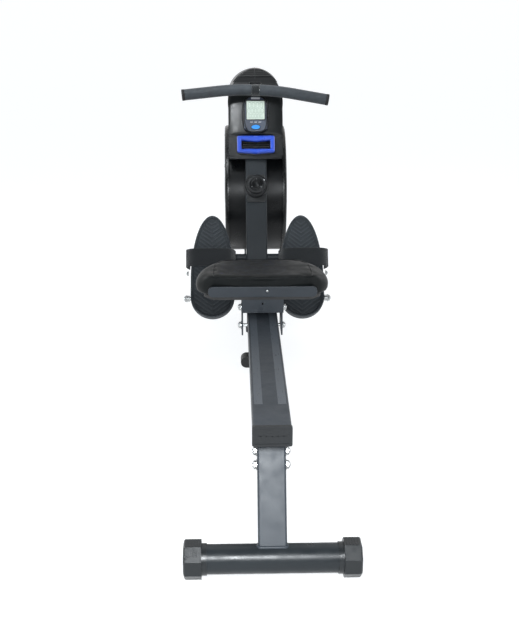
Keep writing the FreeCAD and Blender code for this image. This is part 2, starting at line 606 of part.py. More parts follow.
def pedal_shape():
    """A foot plate in its own frame: x across, y from heel to toe, z out of the tread."""
    thick, rim = size("pedal_thick"), size("pedal_rim")
    plate = pedal_outline(0, -thick).extrude(Vector(0, 0, thick))
    wall = pedal_outline(0, 0).extrude(Vector(0, 0, rim))
    wall = wall.cut(pedal_outline(size("pedal_rim_wall"), 0).extrude(Vector(0, 0, rim)))
    slope = [Vector(-90, -10, rim), Vector(-90, size("pedal_rim_full"), rim),
             Vector(-90, size("pedal_rim_end"), 0), Vector(-90, size("pedal_rim_end"), -1),
             Vector(-90, -10, -1)]
    heel_zone = Part.Face(Part.makePolygon(slope + slope[:1])).extrude(Vector(180, 0, 0))
    solid = plate.fuse(wall.common(heel_zone))
    s, n, radius = size("pedal_axle_s"), size("pedal_axle_n"), size("pedal_lug_radius")
    width = size("pedal_lug_width")
    lugs = []
    for side in (-1, 1):
        low = side * size("pedal_lug_offset") - width / 2
        lugs.append(Part.makeCylinder(radius, width, Vector(low, s, -n), ALONG_X))
        lugs.append(Part.makeBox(width, 2 * radius, n - thick + 1, Vector(low, s - radius, -n)))
    rib_thick, rib_depth, rib_x = size("pedal_rib_thick"), size("pedal_rib_depth"), size("pedal_rib_x")
    ribs = [Part.makeBox(rib_thick, size("pedal_rib_length"), rib_depth,
                         Vector(side * rib_x - rib_thick / 2, s + radius, -thick - rib_depth))
            for side in (-1, 1)]
    bar_room = Part.makeBox(300, 60, 30, Vector(-150, stop_bar_along() - 30, -thick - 30))
    bore = Part.makeCylinder(size("pedal_axle_radius") + size("bore_gap"), 200, Vector(-100, s, -n),
                             ALONG_X)
    return solid.fuse(lugs).fuse([rib.cut(bar_room) for rib in ribs]).cut(bore).removeSplitter()


def stop_bar_along():
    """How far the stop bar lies from the heel, along the foot plates."""
    lean, tilt = math.radians(size("mast_lean")), math.radians(size("pedal_tilt"))
    apart = size("stop_bar_t") - size("axle_t")
    return size("pedal_axle_s") + apart * math.cos(math.pi / 2 - lean - tilt)


def strap_shape(outward):
    """A flat band that arches over a foot plate from its inner edge and bulges past its outer edge."""
    thick, height, half = size("strap_thick"), size("strap_height"), size("pedal_half")
    gap, hem = size("strap_gap"), -size("strap_hem")
    inner = [(-half - gap, hem), (-half - gap, 16), (-half + 14, height - 4), (-10, height),
             (half - 6, height - 2), (half + 11, height - 16), (half + 9, 14), (half + gap, hem)]
    outer = [(-half - gap - thick, hem), (-half - gap - thick, 17), (-half + 12, height - 1),
             (-10, height + thick), (half - 5, height + thick - 1.6), (half + 14, height - 15),
             (half + 12, 13), (half + gap + thick, hem)]
    low, high = size("strap_s"), size("strap_s") + size("strap_width")
    loop = []
    for line, end in ((outer, False), (inner, True)):
        points = [Vector(outward * x, low, n) for x, n in line]
        curve = Part.BSplineCurve()
        curve.interpolate(points[1:-1])
        edges = [Part.LineSegment(points[0], points[1]).toShape(), curve.toShape(),
                 Part.LineSegment(points[-2], points[-1]).toShape()]
        loop += edges
    for index in (0, -1):
        loop.append(Part.LineSegment(Vector(outward * outer[index][0], low, hem),
                                     Vector(outward * inner[index][0], low, hem)).toShape())
    face = Part.Face(Part.Wire(Part.__sortEdges__(loop)))
    return face.extrude(Vector(0, high - low, 0))


def pedal_shape_at(side):
    plate = pedal_shape()
    plate.translate(Vector(side * size("pedal_x"), 0, 0))
    return plate


def strap_stud(side):
    """The bolt, head and tab that hold a strap to the outer edge of its foot plate."""
    edge = size("pedal_x") + size("pedal_half")
    lengths = (("stud_radius", 10, -5), ("stud_head_radius", 5, 2), ("stud_tab_radius", 1.6, 0.3))
    parts = [Part.makeCylinder(size(radius), length,
                               Vector(side * (edge + start), size("strap_s") - size("stud_back"),
                                      -size("stud_drop")), Vector(side, 0, 0))
             for radius, length, start in lengths]
    return parts[0].fuse(parts[1:])


def make_pedals():
    for side, word in ((-1, "left"), (1, "right")):
        node(f"pedal_{word}", on_pedal(feature(f"pedal_plate_{word}", pedal_shape_at(side))))
        strap = strap_shape(side)
        strap.translate(Vector(side * size("pedal_x"), 0, 0))
        stud = strap_stud(side).cut(pedal_shape_at(side)).removeSplitter()
        stud_part = on_pedal(feature(f"strap_stud_{word}", stud))
        band_part = on_pedal(feature(f"strap_band_{word}", strap.cut(stud)))
        node(f"foot_strap_{word}", group(f"foot_strap_set_{word}", band_part, stud_part))


def make_pedal_axle():
    """The axle that both foot plates turn on, with a nut and washer at each end."""
    outer = "pedal_x + pedal_lug_offset + pedal_lug_width / 2 + 0.6"
    shank = rod("axle_shank", "pedal_axle_radius", "2 * (pedal_x + pedal_half + 14)", (0, 0, "axle_t"))
    ends = []
    for side in (-1, 1):
        ends.append(rod(f"axle_washer_{side}", 12, 2, (f"{side} * ({outer} + 1)", 0, "axle_t")))
        ends.append(rod(f"axle_nut_{side}", 9.5, 10,
                        (f"{side} * (pedal_x + pedal_half + 9)", 0, "axle_t")))
        ends.append(rod(f"axle_collar_{side}", 10, 6,
                        (f"{side} * (pedal_x - pedal_lug_offset - pedal_lug_width / 2 - 4)", 0,
                         "axle_t")))
    node("pedal_axle", on_mast(fuse("axle_whole", shank, *ends)))


# ---------------------------------------------------------------- flywheel drive

def brake_pivot_radius():
    return size("brake_inner") + size("magnet_thick") + size("brake_thick") / 2 + size("magnet_gap")


def make_flywheel():
    y, z, low = "wheel_y", "wheel_z", "flywheel_low_x"
    centre = f"{low} + flywheel_width / 2"
    rim = rod("rim_disc", "flywheel_radius", "flywheel_width", (centre, y, z))
    hollows = [pipe(f"web_hollow_{side}", "flywheel_radius - rim_width", "hub_radius", 12,
                    (f"{centre} + {side} * 13", y, z))
               for side in (-1, 1)]
    bore = rod("wheel_bore", "wheel_axle_radius + bearing_wall", 80, (centre, y, z))
    node("flywheel", cut("flywheel_cut", rim, *hollows, bore))
    bearings = [pipe(f"wheel_bearing_{side}", "wheel_axle_radius + bearing_wall",
                     "wheel_axle_radius + bore_gap", "bearing_width",
                     (f"{centre} + {side} * bearing_offset", y, z))
                for side in (-1, 1)]
    node("flywheel_bearings", group("wheel_bearing_pair", *bearings))
    pulley = pipe("driven_pulley", "driven_radius", "wheel_axle_radius + bore_gap", "belt_width",
                  ("belt_low_x + belt_width / 2", y, z))
    neck = pipe("driven_neck", "neck_radius", "wheel_axle_radius + bore_gap",
                "flywheel_low_x - belt_low_x - belt_width",
                ("(flywheel_low_x + belt_low_x + belt_width) / 2", y, z))
    node("flywheel_pulley", fuse("driven_whole", pulley, neck))
    shank = rod("wheel_axle_shank", "wheel_axle_radius", 88, (0, y, z))
    nut_x = "(plate_inner + plate_thick + wheel_nut_width / 2)"
    nuts = [rod(f"wheel_axle_nut_{side}", "wheel_nut_radius", "wheel_nut_width",
                (f"{side} * {nut_x}", y, z))
            for side in (-1, 1)]
    return fuse("wheel_axle_whole", shank, *nuts)


def make_spool():
    y, z = "spool_y", "spool_z"
    bore = "spool_axle_radius + bore_gap"
    core = pipe("spool_core", "spool_radius", bore, "spool_width", (0, y, z))
    flanges = [pipe(f"spool_flange_{side}", "spool_flange", bore, "spool_cheek",
                    (f"{side} * (spool_width - spool_cheek) / 2", y, z)) for side in (-1, 1)]
    node("strap_spool", fuse("spool_whole", core, *flanges))
    disc = pipe("drive_disc", "drive_radius", "clutch_radius + bore_gap", "belt_width",
                ("belt_low_x + belt_width / 2", y, z))
    hollow = pipe("drive_hollow", "drive_radius - 8", 22, 5, ("belt_low_x + 1.5", y, z))
    clutch = pipe("clutch_ring", "clutch_radius", bore, "belt_width",
                  ("belt_low_x + belt_width / 2", y, z))
    node("drive_pulley", group("drive_pulley_set", cut("drive_cut", disc, hollow), clutch))
    shank = rod("spool_axle_shank", "spool_axle_radius", 84, (0, y, z))
    nut_x = "(plate_inner + plate_thick + spool_nut_width / 2)"
    nuts = [rod(f"spool_axle_nut_{side}", "spool_nut_radius", "spool_nut_width",
                (f"{side} * {nut_x}", y, z))
            for side in (-1, 1)]
    axle = fuse("spool_axle_whole", shank, *nuts)
    case = pipe("spring_case_ring", "spool_flange - 4", "spool_flange - 4 - case_wall", "case_width",
                ("spring_x", y, z))
    coils = pipe("spring_coils", "spool_flange - 8", "spool_axle_radius + 4", "spring_width",
                 ("spring_x", y, z))
    back = pipe("spring_back", "spool_flange - 4", bore, 1.5, ("spring_x + 6.7", y, z))
    node("return_spring", group("return_spring_set", fuse("spring_case_whole", case, back), coils))
    return axle


def make_drive():
    node("drive_axles", group("drive_axle_pair", make_flywheel(), make_spool()))


def belt_wire(offset):
    """A closed belt line round both pulleys, that far outside their rims."""
    near, far = size("driven_radius") + offset, size("drive_radius") + offset
    start = Vector(0, size("wheel_y"), size("wheel_z"))
    end = Vector(0, size("spool_y"), size("spool_z"))
    span = (end - start).Length
    slope = math.degrees(math.atan2(end.z - start.z, end.y - start.y))
    lean = math.degrees(math.acos((near - far) / span))
    points = {}
    for word, centre, radius in (("near", start, near), ("far", end, far)):
        points[word] = [polar(centre.y, centre.z, radius, slope + side * lean) for side in (1, -1)]
        points[word + "_back"] = polar(centre.y, centre.z, radius, slope + (180 if word == "near" else 0))
    edges = [Part.Arc(points["near"][0], points["near_back"], points["near"][1]).toShape(),
             Part.Arc(points["far"][0], points["far_back"], points["far"][1]).toShape()]
    edges += [Part.LineSegment(points["near"][side], points["far"][side]).toShape() for side in (0, 1)]
    return Part.Wire(Part.__sortEdges__(edges))


def make_belt():
    width, low = size("belt_width") - 2, size("belt_low_x") + 1
    gap = size("belt_gap")
    outer = Part.Face(belt_wire(gap + size("belt_thick"))).extrude(Vector(width, 0, 0))
    inner = Part.Face(belt_wire(gap)).extrude(Vector(width, 0, 0))
    belt = outer.cut(inner)
    belt.translate(Vector(low, 0, 0))
    node("drive_belt", feature("belt_loop", belt))


def ring_sector(inner, outer, start, end, low_x, high_x):
    """Part of a ring about the flywheel's axis, between two angles."""
    y, z = size("wheel_y"), size("wheel_z")
    middle = (start + end) / 2
    corners = [[polar(y, z, radius, angle, low_x) for angle in (start, middle, end)]
               for radius in (inner, outer)]
    edges = [Part.Arc(*line).toShape() for line in corners]
    edges += [Part.LineSegment(corners[0][index], corners[1][index]).toShape() for index in (0, 2)]
    return Part.Face(Part.Wire(Part.__sortEdges__(edges))).extrude(Vector(high_x - low_x, 0, 0))


def make_brake():
    """The curved arm that carries magnets over the flywheel's rim, on a pivot at its front end."""
    inner = size("brake_inner")
    start, end = size("brake_pivot_angle"), size("brake_end_angle")
    arm_low = inner + size("magnet_thick") + size("magnet_gap")
    arm = ring_sector(arm_low, arm_low + size("brake_thick"), start, end, -10, 22)
    pivot = polar(size("wheel_y"), size("wheel_z"), brake_pivot_radius(), start, -20)
    eye = Part.makeCylinder(size("brake_eye_radius"), 32, pivot + Vector(10, 0, 0), ALONG_X)
    bore = Part.makeCylinder(size("small_pin_radius") + size("bore_gap"), 100,
                             pivot - Vector(30, 0, 0), ALONG_X)
    magnets = [ring_sector(inner, arm_low, angle, angle + 10, -6, 18) for angle in (64, 76, 88)]
    arm_part = feature("brake_arm_shape", arm.fuse(eye).cut(bore).removeSplitter())
    magnet_part = feature("magnet_blocks", Part.makeCompound(magnets))
    node("brake_arm", group("brake_arm_set", arm_part, magnet_part))
    reach = size("plate_inner") + size("plate_thick")
    pin = Part.makeCylinder(size("small_pin_radius"), 2 * reach, Vector(-reach, pivot.y, pivot.z),
                            ALONG_X)
    heads = [Part.makeCylinder(6, 4, Vector(x, pivot.y, pivot.z), ALONG_X) for x in (-reach - 4, reach)]
    return feature("brake_pin_shape", pin.fuse(heads).removeSplitter())


def tension_path():
    """Inside the mast, up and out of its top, then across to the free end of the brake arm."""
    lean = math.radians(size("mast_lean"))
    inside = [Vector(0, size("mast_y") + along * math.sin(lean), size("mast_z") + along * math.cos(lean))
              for along in (490, 565, 645)]
    return inside + [Vector(10, 606, 666), Vector(25.5, 650, 604), Vector(25.5, 720, 599)]


def rounded_path(points):
    """Straight runs joined by arcs that touch both runs."""
    edges, last = [], points[0]
    for before, corner, after in zip(points, points[1:], points[2:]):
        back, ahead = (before - corner), (after - corner)
        reach = 0.45 * min(back.Length, ahead.Length)
        back.normalize()
        ahead.normalize()
        turn = math.pi - back.getAngle(ahead)
        if turn < 0.01:
            continue
        radius = reach / math.tan(turn / 2)
        start, end = corner + back * reach, corner + ahead * reach
        inward = (back + ahead).normalize()
        middle = corner + inward * (radius / math.cos(turn / 2) - radius)
        edges += [Part.LineSegment(last, start).toShape(), Part.Arc(start, middle, end).toShape()]
        last = end
    edges.append(Part.LineSegment(last, points[-1]).toShape())
    return Part.Wire(edges)


def swept_rod(path, radius):
    direction = path.Edges[0].tangentAt(path.Edges[0].FirstParameter)
    start = path.Edges[0].valueAt(path.Edges[0].FirstParameter)
    circle = Part.Wire(Part.makeCircle(radius, start, direction))
    return path.makePipeShell([circle], True, False)


def make_pins():
    node("pivot_pins", group("pivot_pin_pair", make_brake(), make_guide_roller()))


def make_tension_cable():
    run = swept_rod(rounded_path(tension_path()), size("cable_radius"))
    node("tension_cable", feature("cable_run", run))


# ---------------------------------------------------------------- shroud

def fascia_point(w, depth):
    """A point in the side view, w up the fascia from its lower edge and depth behind its face."""
    lean = math.radians(size("fascia_lean"))
    return Vector(0, size("fascia_y") + w * math.sin(lean) + depth * math.cos(lean),
                  size("fascia_z") + w * math.cos(lean) - depth * math.sin(lean))


def shroud_side_wire(inset):
    """The shroud's outline seen from the side: a drum with the console's pod rising over its rear."""
    y, z, radius = size("wheel_y"), size("wheel_z"), size("drum_radius") - inset
    depth = size("fascia_thick") + inset
    low = fascia_point(0, depth)
    low = fascia_point(inset / math.cos(math.radians(size("fascia_lean"))), depth) if inset else low
    high = fascia_point(size("fascia_run"), depth)
    crown = Vector(0, y + 4.5, size("shroud_top_z") - 1 - inset)
    shoulder = Vector(0, size("shoulder_y") + 0.4 * inset, size("shoulder_z") - inset)
    front = polar(y, z, radius, 30)
    brow = Vector(0, y + size("brow_forward") - inset * 0.8, size("brow_z") - inset * 0.6)
    foot = polar(y, z, radius, 180 - math.degrees(math.asin((low.z - z) / radius)))
    edges = [Part.LineSegment(low, high).toShape(), Part.Arc(high, shoulder, crown).toShape(),
             Part.Arc(crown, brow, front).toShape(),
             Part.Arc(front, polar(y, z, radius, -90), foot).toShape(),
             Part.LineSegment(foot, low).toShape()]
    return Part.Wire(Part.__sortEdges__(edges))


def shroud_rear_wire(inset):
    """The shroud's outline seen from the rear: straight sides under a round arch."""
    half, low, top = size("shroud_half") - inset, size("arch_low_z"), size("shroud_top_z") - inset
    left, right = Vector(-half, 0, low), Vector(half, 0, low)
    crown = Vector(0, 0, top)
    across, up = size("arch_side") * half, low + size("arch_rise") * (top - low)
    edges = [Part.Arc(left, Vector(-across, 0, up), crown).toShape(),
             Part.Arc(crown, Vector(across, 0, up), right).toShape(),
             Part.LineSegment(right, Vector(half, 0, 100)).toShape(),
             Part.LineSegment(Vector(half, 0, 100), Vector(-half, 0, 100)).toShape(),
             Part.LineSegment(Vector(-half, 0, 100), left).toShape()]
    return Part.Wire(Part.__sortEdges__(edges))


def shroud_solid(inset):
    side = Part.Face(shroud_side_wire(inset))
    side.translate(Vector(-120, 0, 0))
    rear = Part.Face(shroud_rear_wire(inset))
    return side.extrude(Vector(240, 0, 0)).common(rear.extrude(Vector(0, 1200, 0)))


def mast_room(clearance):
    """The mast with some room round it."""
    width, depth = size("mast_width") + 2 * clearance, size("mast_depth") + 2 * clearance
    room = Part.makeBox(width, depth, size("mast_length") + clearance, Vector(-width / 2, -depth / 2, 0))
    room.Placement = Placement(Vector(0, size("mast_y"), size("mast_z")),
                               Rotation(FORWARD_LEAN, size("mast_lean")))
    return room


def make_shroud():
    shell = shroud_solid(0).cut(shroud_solid(size("shroud_wall")))
    shell = shell.cut(mast_room(size("mast_clearance")))
    width, height = size("slot_width"), size("slot_height")
    slot = Part.makeBox(width, 40, height, Vector(-width / 2, -20, -height / 2))
    slot.Placement = Placement(fascia_point(size("slot_w"), 6),
                               Rotation(FORWARD_LEAN, size("fascia_lean")))
    shell = shell.cut(slot)
    for side in (-1, 1):
        thick = size("plate_thick") + 1
        low = side * (size("plate_inner") + size("plate_thick") / 2) - thick / 2
        shell = shell.cut(Part.makeBox(thick, size("plate_width") + 4, 60,
                                       Vector(low, size("wheel_y") - size("plate_width") / 2 - 2, 200)))
    for side, word in ((-1, "left"), (1, "right")):
        half_space = Part.makeBox(200, 1000, 1000, Vector(-200 if side < 0 else 0, 300, 100))
        node(f"shroud_{word}", feature(f"shroud_half_{word}", shell.common(half_space)))


def make_side_covers():
    """Round dished covers over the two flat sides of the drum."""
    for side, word in ((-1, "left"), (1, "right")):
        centre = Vector(side * size("shroud_half"), size("wheel_y"), size("wheel_z"))
        disc = Part.makeCylinder(size("cover_radius"), size("cover_thick"), centre, Vector(side, 0, 0))
        face_x = size("shroud_half") + size("cover_thick")
        outer_edges = [edge for edge in disc.Edges
                       if abs(abs(edge.CenterOfMass.x) - face_x) < 0.1 and edge.Closed]
        disc = disc.makeFillet(size("cover_edge"), outer_edges)
        hollow = Part.makeCylinder(size("cover_radius") - 3, size("cover_thick") - 4, centre,
                                   Vector(side, 0, 0))
        dish_start = centre + Vector(side * (size("cover_thick") - 2), 0, 0)
        dish = Part.makeCylinder(size("dish_radius"), 4, dish_start, Vector(side, 0, 0))
        dish = dish.cut(Part.makeCylinder(size("dish_radius") - size("dish_wall"), 4, dish_start,
                                          Vector(side, 0, 0)))
        node(f"side_cover_{word}", feature(f"cover_disc_{word}", disc.cut(hollow).cut(dish)))


def fascia_plate():
    points = [(-80, 0), (80, 0), (84, 30), (84.5, 110), (46, 150), (42, 204), (-42, 204), (-46, 150),
              (-84.5, 110), (-84, 30)]
    return rounded_plate(points, "Y", 0, size("fascia_thick") - size("panel_gap"), size("fascia_corner"))


def make_fascia():
    """The panel under the console, with a ribbed recess behind the handle rest."""
    plate = fascia_plate()
    half = size("rest_half") - size("rest_ring")
    height = size("rest_half_height") - size("rest_ring") + 1
    low = size("rest_w") - height
    recess = Part.makeBox(2 * half, 4, 2 * height, Vector(-half, 0, low))
    ribs = [Part.makeBox(2 * half, 3, 1.6, Vector(-half, 1, low + 5 + size("rib_pitch") * row))
            for row in range(4)]
    plate = plate.cut(recess).fuse(ribs)
    node("fascia", on_fascia(feature("fascia_plate", plate.removeSplitter())))


def make_handle_rest():
    """The blue frame on the fascia that the handle is parked against."""
    w, half, height = size("rest_w"), size("rest_half"), size("rest_half_height")
    thick, ring = size("rest_thick"), size("rest_ring")
    bow = size("rest_bow")
    outline = [(-half, w - height + bow), (0, w - height), (half, w - height + bow), (half, w + height),
               (-half, w + height)]
    outer = rounded_plate(outline, "Y", -thick, -size("panel_gap"), size("rest_corner"))
    inner_low, inner_high = w - height + ring, w + height - ring
    opening = [(-half + ring, inner_low), (half - ring, inner_low), (half - ring, inner_high),
               (0, inner_high - bow), (-half + ring, inner_high)]
    window = rounded_plate(opening, "Y", -thick - 1, 1, size("window_corner"))
    frame = outer.cut(window)
    face_edges = [edge for edge in frame.Edges
                  if abs(edge.BoundBox.YMin + thick) < 0.01 and abs(edge.BoundBox.YMax + thick) < 0.01]
    rounded = frame.makeChamfer(size("rest_chamfer"), face_edges)
    node("handle_rest", on_fascia(feature("rest_frame", rounded)))


def console_outline(half, half_length, low, high):
    """An oval-ended monitor outline in the fascia's plane, from low to high across it."""
    w = size("console_w")
    straight = half_length - 0.36 * half
    top = [Vector(-half, low, w + straight - 14), Vector(0, low, w + half_length),
           Vector(half, low, w + straight - 14)]
    bottom = [Vector(half, low, w - straight), Vector(0, low, w - half_length),
              Vector(-half, low, w - straight)]
    edges = [Part.Arc(*top).toShape(), Part.Arc(*bottom).toShape(),
             Part.LineSegment(top[2], bottom[0]).toShape(),
             Part.LineSegment(bottom[2], top[0]).toShape()]
    return Part.Face(Part.Wire(Part.__sortEdges__(edges))).extrude(Vector(0, high - low, 0))


def oval_pin(margin, start, length):
    """An oval pin in the button's place, that much larger than the button all round."""
    stretch = FreeCAD.Matrix()
    stretch.A11 = 1.5 * size("button_radius") + margin
    stretch.A33 = 0.75 * size("button_radius") + margin
    pin = Part.makeCylinder(1, length, Vector(0, start, 0), ALONG_Y).transformGeometry(stretch)
    pin.translate(Vector(0, 0, size("button_w")))
    return pin


def make_console():
    thick, half, length = size("console_thick"), size("console_half"), size("console_half_length")
    case = console_outline(half, length, -thick, -size("panel_gap"))
    face_edges = [edge for edge in case.Edges if edge.BoundBox.YMax < -thick + 0.1]
    case = case.makeFillet(size("console_edge"), face_edges)
    width, height, gap = size("window_width"), size("window_height"), size("lens_gap")
    low = size("console_w") - size("window_drop")
    window = Part.makeBox(width, 4, height, Vector(-width / 2, -thick - 1, low))
    button_room = oval_pin(size("button_gap"), -thick - 1, 8)
    node("console_case", on_fascia(feature("console_case_shape", case.cut(window).cut(button_room))))
    lens = Part.makeBox(width - 2 * gap, 2.6, height - 2 * gap,
                        Vector(gap - width / 2, -thick + 0.3, low + gap))
    node("console_lens", on_fascia(feature("console_lens_plate", lens)))
    button = oval_pin(0, -thick - 1.8, 6.2)
    room = Part.makeBox(60, 10, 40, Vector(-30, -thick + 7 - size("button_travel") - 0.8,
                                           size("button_w") - 20))
    node("console_button", on_fascia(feature("console_button_cap", button.cut(room))))


def make_knob():
    """The tension control on the mast's rear face: a fixed plate and a lobed knob."""
    face, t = -size("mast_depth") / 2, size("knob_t")
    half, length, thick = size("knob_base_width") / 2, size("knob_base_length"), size("knob_base_thick")
    low = t - length / 2 - size("knob_base_drop")
    outline = [(-half, low), (half, low), (half, low + length), (-half, low + length)]
    plate = rounded_plate(outline, "Y", face - thick, face - size("hole_gap"), size("knob_base_corner"))
    stem_radius, depth = size("knob_stem_radius"), size("knob_skirt_depth")
    plate = plate.cut(Part.makeCylinder(stem_radius + size("bore_gap"), THROUGH,
                                        Vector(0, face - 12, t), ALONG_Y))
    node("knob_base", on_mast(feature("knob_base_plate", plate)))
    start = face - thick - size("knob_gap")
    centre = Vector(0, start, t)
    skirt = Part.makeCone(size("knob_skirt"), size("knob_skirt") - 3, depth, centre, REARWARD)
    grip = Part.makeCylinder(size("knob_radius") - size("knob_grip_inset"), size("knob_height"), centre,
                             REARWARD)
    top_edges = [edge for edge in grip.Edges
                 if abs(edge.CenterOfMass.y - start + size("knob_height")) < 0.1 and edge.Closed]
    grip = grip.makeFillet(4, top_edges)
    radius = size("knob_flute")
    reach = size("knob_radius") - radius
    flutes = []
    for flute in range(12):
        angle = math.radians(30 * flute)
        place = Vector(reach * math.cos(angle), start - depth, t + reach * math.sin(angle))
        flutes.append(Part.makeCylinder(radius, 40, place, REARWARD))
    grip = grip.cut(flutes[0].fuse(flutes[1:]))
    stem = Part.makeCylinder(stem_radius, 22, centre, ALONG_Y)
    node("resistance_knob", on_mast(feature("resistance_knob_shape",
                                            skirt.fuse([grip, stem]).removeSplitter())))


# ---------------------------------------------------------------- handle and pull strap

def handle_path(trim):
    """The bar's centre line from left to right: a flat middle, then arms that drop and sweep back."""
    half, bend = size("handle_half") - trim, size("handle_bend_x")
    drop, back = size("handle_drop"), size("handle_back")
    share = (half - bend) / (size("handle_half") - bend)
    end = Vector(half, -back * share, -drop * share)
    left = Vector(-end.x, end.y, end.z)
    return rounded_path([left, Vector(-bend, 0, 0), Vector(bend, 0, 0), end])


def make_handle():
    bar = swept_rod(handle_path(6), size("bar_radius"))
    bore = swept_rod(handle_path(4), size("bar_radius") - size("bar_wall"))
    node("handle_bar", on_handle(feature("bar_tube", bar.cut(bore))))
    sleeve = swept_rod(handle_path(0), size("grip_radius")).cut(bar)
    gap = size("grip_gap")
    middle = Part.makeBox(gap, 80, 80, Vector(-gap / 2, -40, -40))
    node("handle_grips", on_handle(feature("grip_sleeves", sleeve.cut(middle))))


def pull_direction():
    slope = math.radians(size("pull_slope"))
    return Vector(0, -math.cos(slope), -math.sin(slope))


def make_strap():
    """The webbing loop round the bar and the strap from it to the guide roller behind the slot."""
    centre = Vector(0, size("handle_y"), size("handle_z"))
    half = size("strap_tape_width") / 2
    ring = Part.makeCylinder(size("strap_loop_radius"), 2 * half, centre - Vector(half, 0, 0), ALONG_X)
    ring = ring.cut(Part.makeCylinder(size("bar_radius") + size("loop_gap"), 2 * half + 2,
                                      centre - Vector(half + 1, 0, 0), ALONG_X))
    node("strap_loop", feature("strap_loop_ring", ring))
    tape = Part.makeBox(2 * half, size("tape_length"), size("strap_tape_thick"),
                        Vector(-half, 0, -size("strap_tape_thick") / 2))
    tape.Placement = Placement(centre - pull_direction() * (size("strap_loop_radius") - 0.2),
                               Rotation(ALONG_X, size("pull_slope")))
    node("pull_strap", feature("strap_tape", tape.cut(ring)))


def make_guide_roller():
    """The roller behind the slot that turns the strap down to its drum, on a fixed pin."""
    slope, width = math.radians(size("pull_slope")), size("guide_width")
    below = Vector(0, math.sin(slope), -math.cos(slope))
    handle = Vector(0, size("handle_y"), size("handle_z"))
    centre = handle - pull_direction() * size("guide_distance") + below * size("guide_offset")
    roller = Part.makeCylinder(size("guide_radius"), width, centre - ALONG_X * (width / 2), ALONG_X)
    roller = roller.cut(Part.makeCylinder(size("small_pin_radius") + size("bore_gap"), width + 10,
                                          centre - ALONG_X * (width / 2 + 5), ALONG_X))
    node("guide_roller", feature("guide_roller_sleeve", roller))
    pin = Part.makeCylinder(size("small_pin_radius"), 2 * width, centre - ALONG_X * width, ALONG_X)
    return feature("guide_pin_rod", pin)


# ---------------------------------------------------------------- seat

def make_carriage():
    half, length, plate = "carriage_half", "carriage_length", "carriage_plate"
    low_y = f"seat_y - {length} / 2"
    outside = box("carriage_outside", (f"2 * {half}", length, "carriage_top_z - carriage_low_z"),
                  (f"-{half}", low_y, "carriage_low_z"))
    inside = box("carriage_inside", (f"2 * ({half} - {plate})", f"{length} - 6",
                                     "carriage_top_z - carriage_low_z"),
                 (f"-{half} + {plate}", f"{low_y} + 3", f"carriage_low_z - {plate}"))
    ears = [box(f"carriage_ear_{side}", (plate, "ear_length", "carriage_low_z - ear_low_z + 1"),
                (f"{side} * ({half} - {plate} / 2) - {plate} / 2", "seat_y - ear_length / 2",
                 "ear_low_z"))
            for side in (-1, 1)]
    hole = rod("flange_hole", 2.5, 260, (0, "seat_y", "carriage_low_z + 24"), "Y")
    axle_holes = [rod(f"carriage_hole_{name}", "roller_bolt_radius + hole_gap", 140, (0, y, z))
                  for name, y, z in roller_axles()]
    node("seat_carriage", cut("carriage_cut", fuse("carriage_whole", outside, *ears), inside, hole,
                              *axle_holes))


def roller_axles():
    top = "rail_top_z + roller_radius + roller_gap"
    under = "rail_top_z - rail_height - under_roller_radius - roller_gap"
    return (("rear", "seat_y - roller_spread", top), ("front", "seat_y + roller_spread", top),
            ("under", "seat_y", under))


def make_rollers():
    bolts = []
    for name, y, z in roller_axles():
        radius = "under_roller_radius" if name == "under" else "roller_radius"
        bore = "roller_bolt_radius + bore_gap"
        wheels = [pipe(f"roller_{name}_{side}", radius, bore, "roller_width",
                       (f"{side} * roller_x", y, z))
                  for side in (-1, 1)]
        core = pipe(f"roller_core_{name}", "roller_core_radius", bore, 34, (0, y, z))
        node(f"seat_rollers_{name}", fuse(f"roller_set_{name}", core, *wheels))
        bolts.append(bolt_across(f"roller_bolt_{name}", "roller_bolt_radius", "carriage_half", y, z))
    node("roller_bolts", group("roller_bolt_set", *bolts))


def seat_outline(inset):
    """Cut rear corners, full-width flanks and slanted front corners; y forwards from the rear edge."""
    half, length = size("pad_half") - inset, size("pad_length") - inset
    rear, front = size("pad_rear_share") * half, size("pad_front_share") * half
    flank_rear, flank_front = size("pad_flank_rear"), size("pad_flank_front")
    return [(-rear, inset), (rear, inset), (half, flank_rear), (half, flank_front), (front, length),
            (-front, length), (-half, flank_front), (-half, flank_rear)]


def make_seat():
    rear = size("pad_rear_y")
    board = rounded_plate([(x, y + rear) for x, y in seat_outline(size("board_inset"))], "Z",
                          size("carriage_top_z"), size("board_top_z"), size("board_corner"))
    node("seat_board", feature("seat_board_plate", board))
    pad = rounded_plate([(x, y + rear) for x, y in seat_outline(0)], "Z", size("board_top_z"),
                        size("pad_top_z"), size("pad_corner"))
    top_edges = [edge for edge in pad.Edges if edge.BoundBox.ZMin > size("pad_top_z") - 0.1]
    node("seat_pad", feature("seat_pad_block", pad.makeChamfer(size("pad_chamfer"), top_edges)))


# ---------------------------------------------------------------- transport wheels

def make_castors():
    y, z, x = "castor_y", "castor_z", "castor_x"
    lugs, pins = [], []
    for side, word in ((-1, "left"), (1, "right")):
        wheel = pipe(f"castor_{word}", "castor_radius", "castor_pin_radius + bore_gap", "castor_width",
                     (f"{side} * {x}", y, z))
        node(f"transport_wheel_{word}", wheel)
        pins.append(rod(f"castor_pin_{side}", "castor_pin_radius", "castor_width + 14",
                        (f"{side} * {x}", y, z)))
        for face in (-1, 1):
            lug_x = f"{side} * {x} + {face} * (castor_width / 2 + 3) - castor_lug_thick / 2"
            lugs.append(box(f"castor_lug_{side}_{face}",
                            ("castor_lug_thick", "castor_y - front_foot_y + 8", 26),
                            (lug_x, "front_foot_y", "castor_z - 8")))
    foot_space = rod("castor_foot_space", "foot_tube_radius", 400, (0, "front_foot_y", "foot_z"))
    return cut("castor_bracket_cut", fuse("castor_brackets", *lugs, *pins), foot_space)


# ---------------------------------------------------------------- build and export

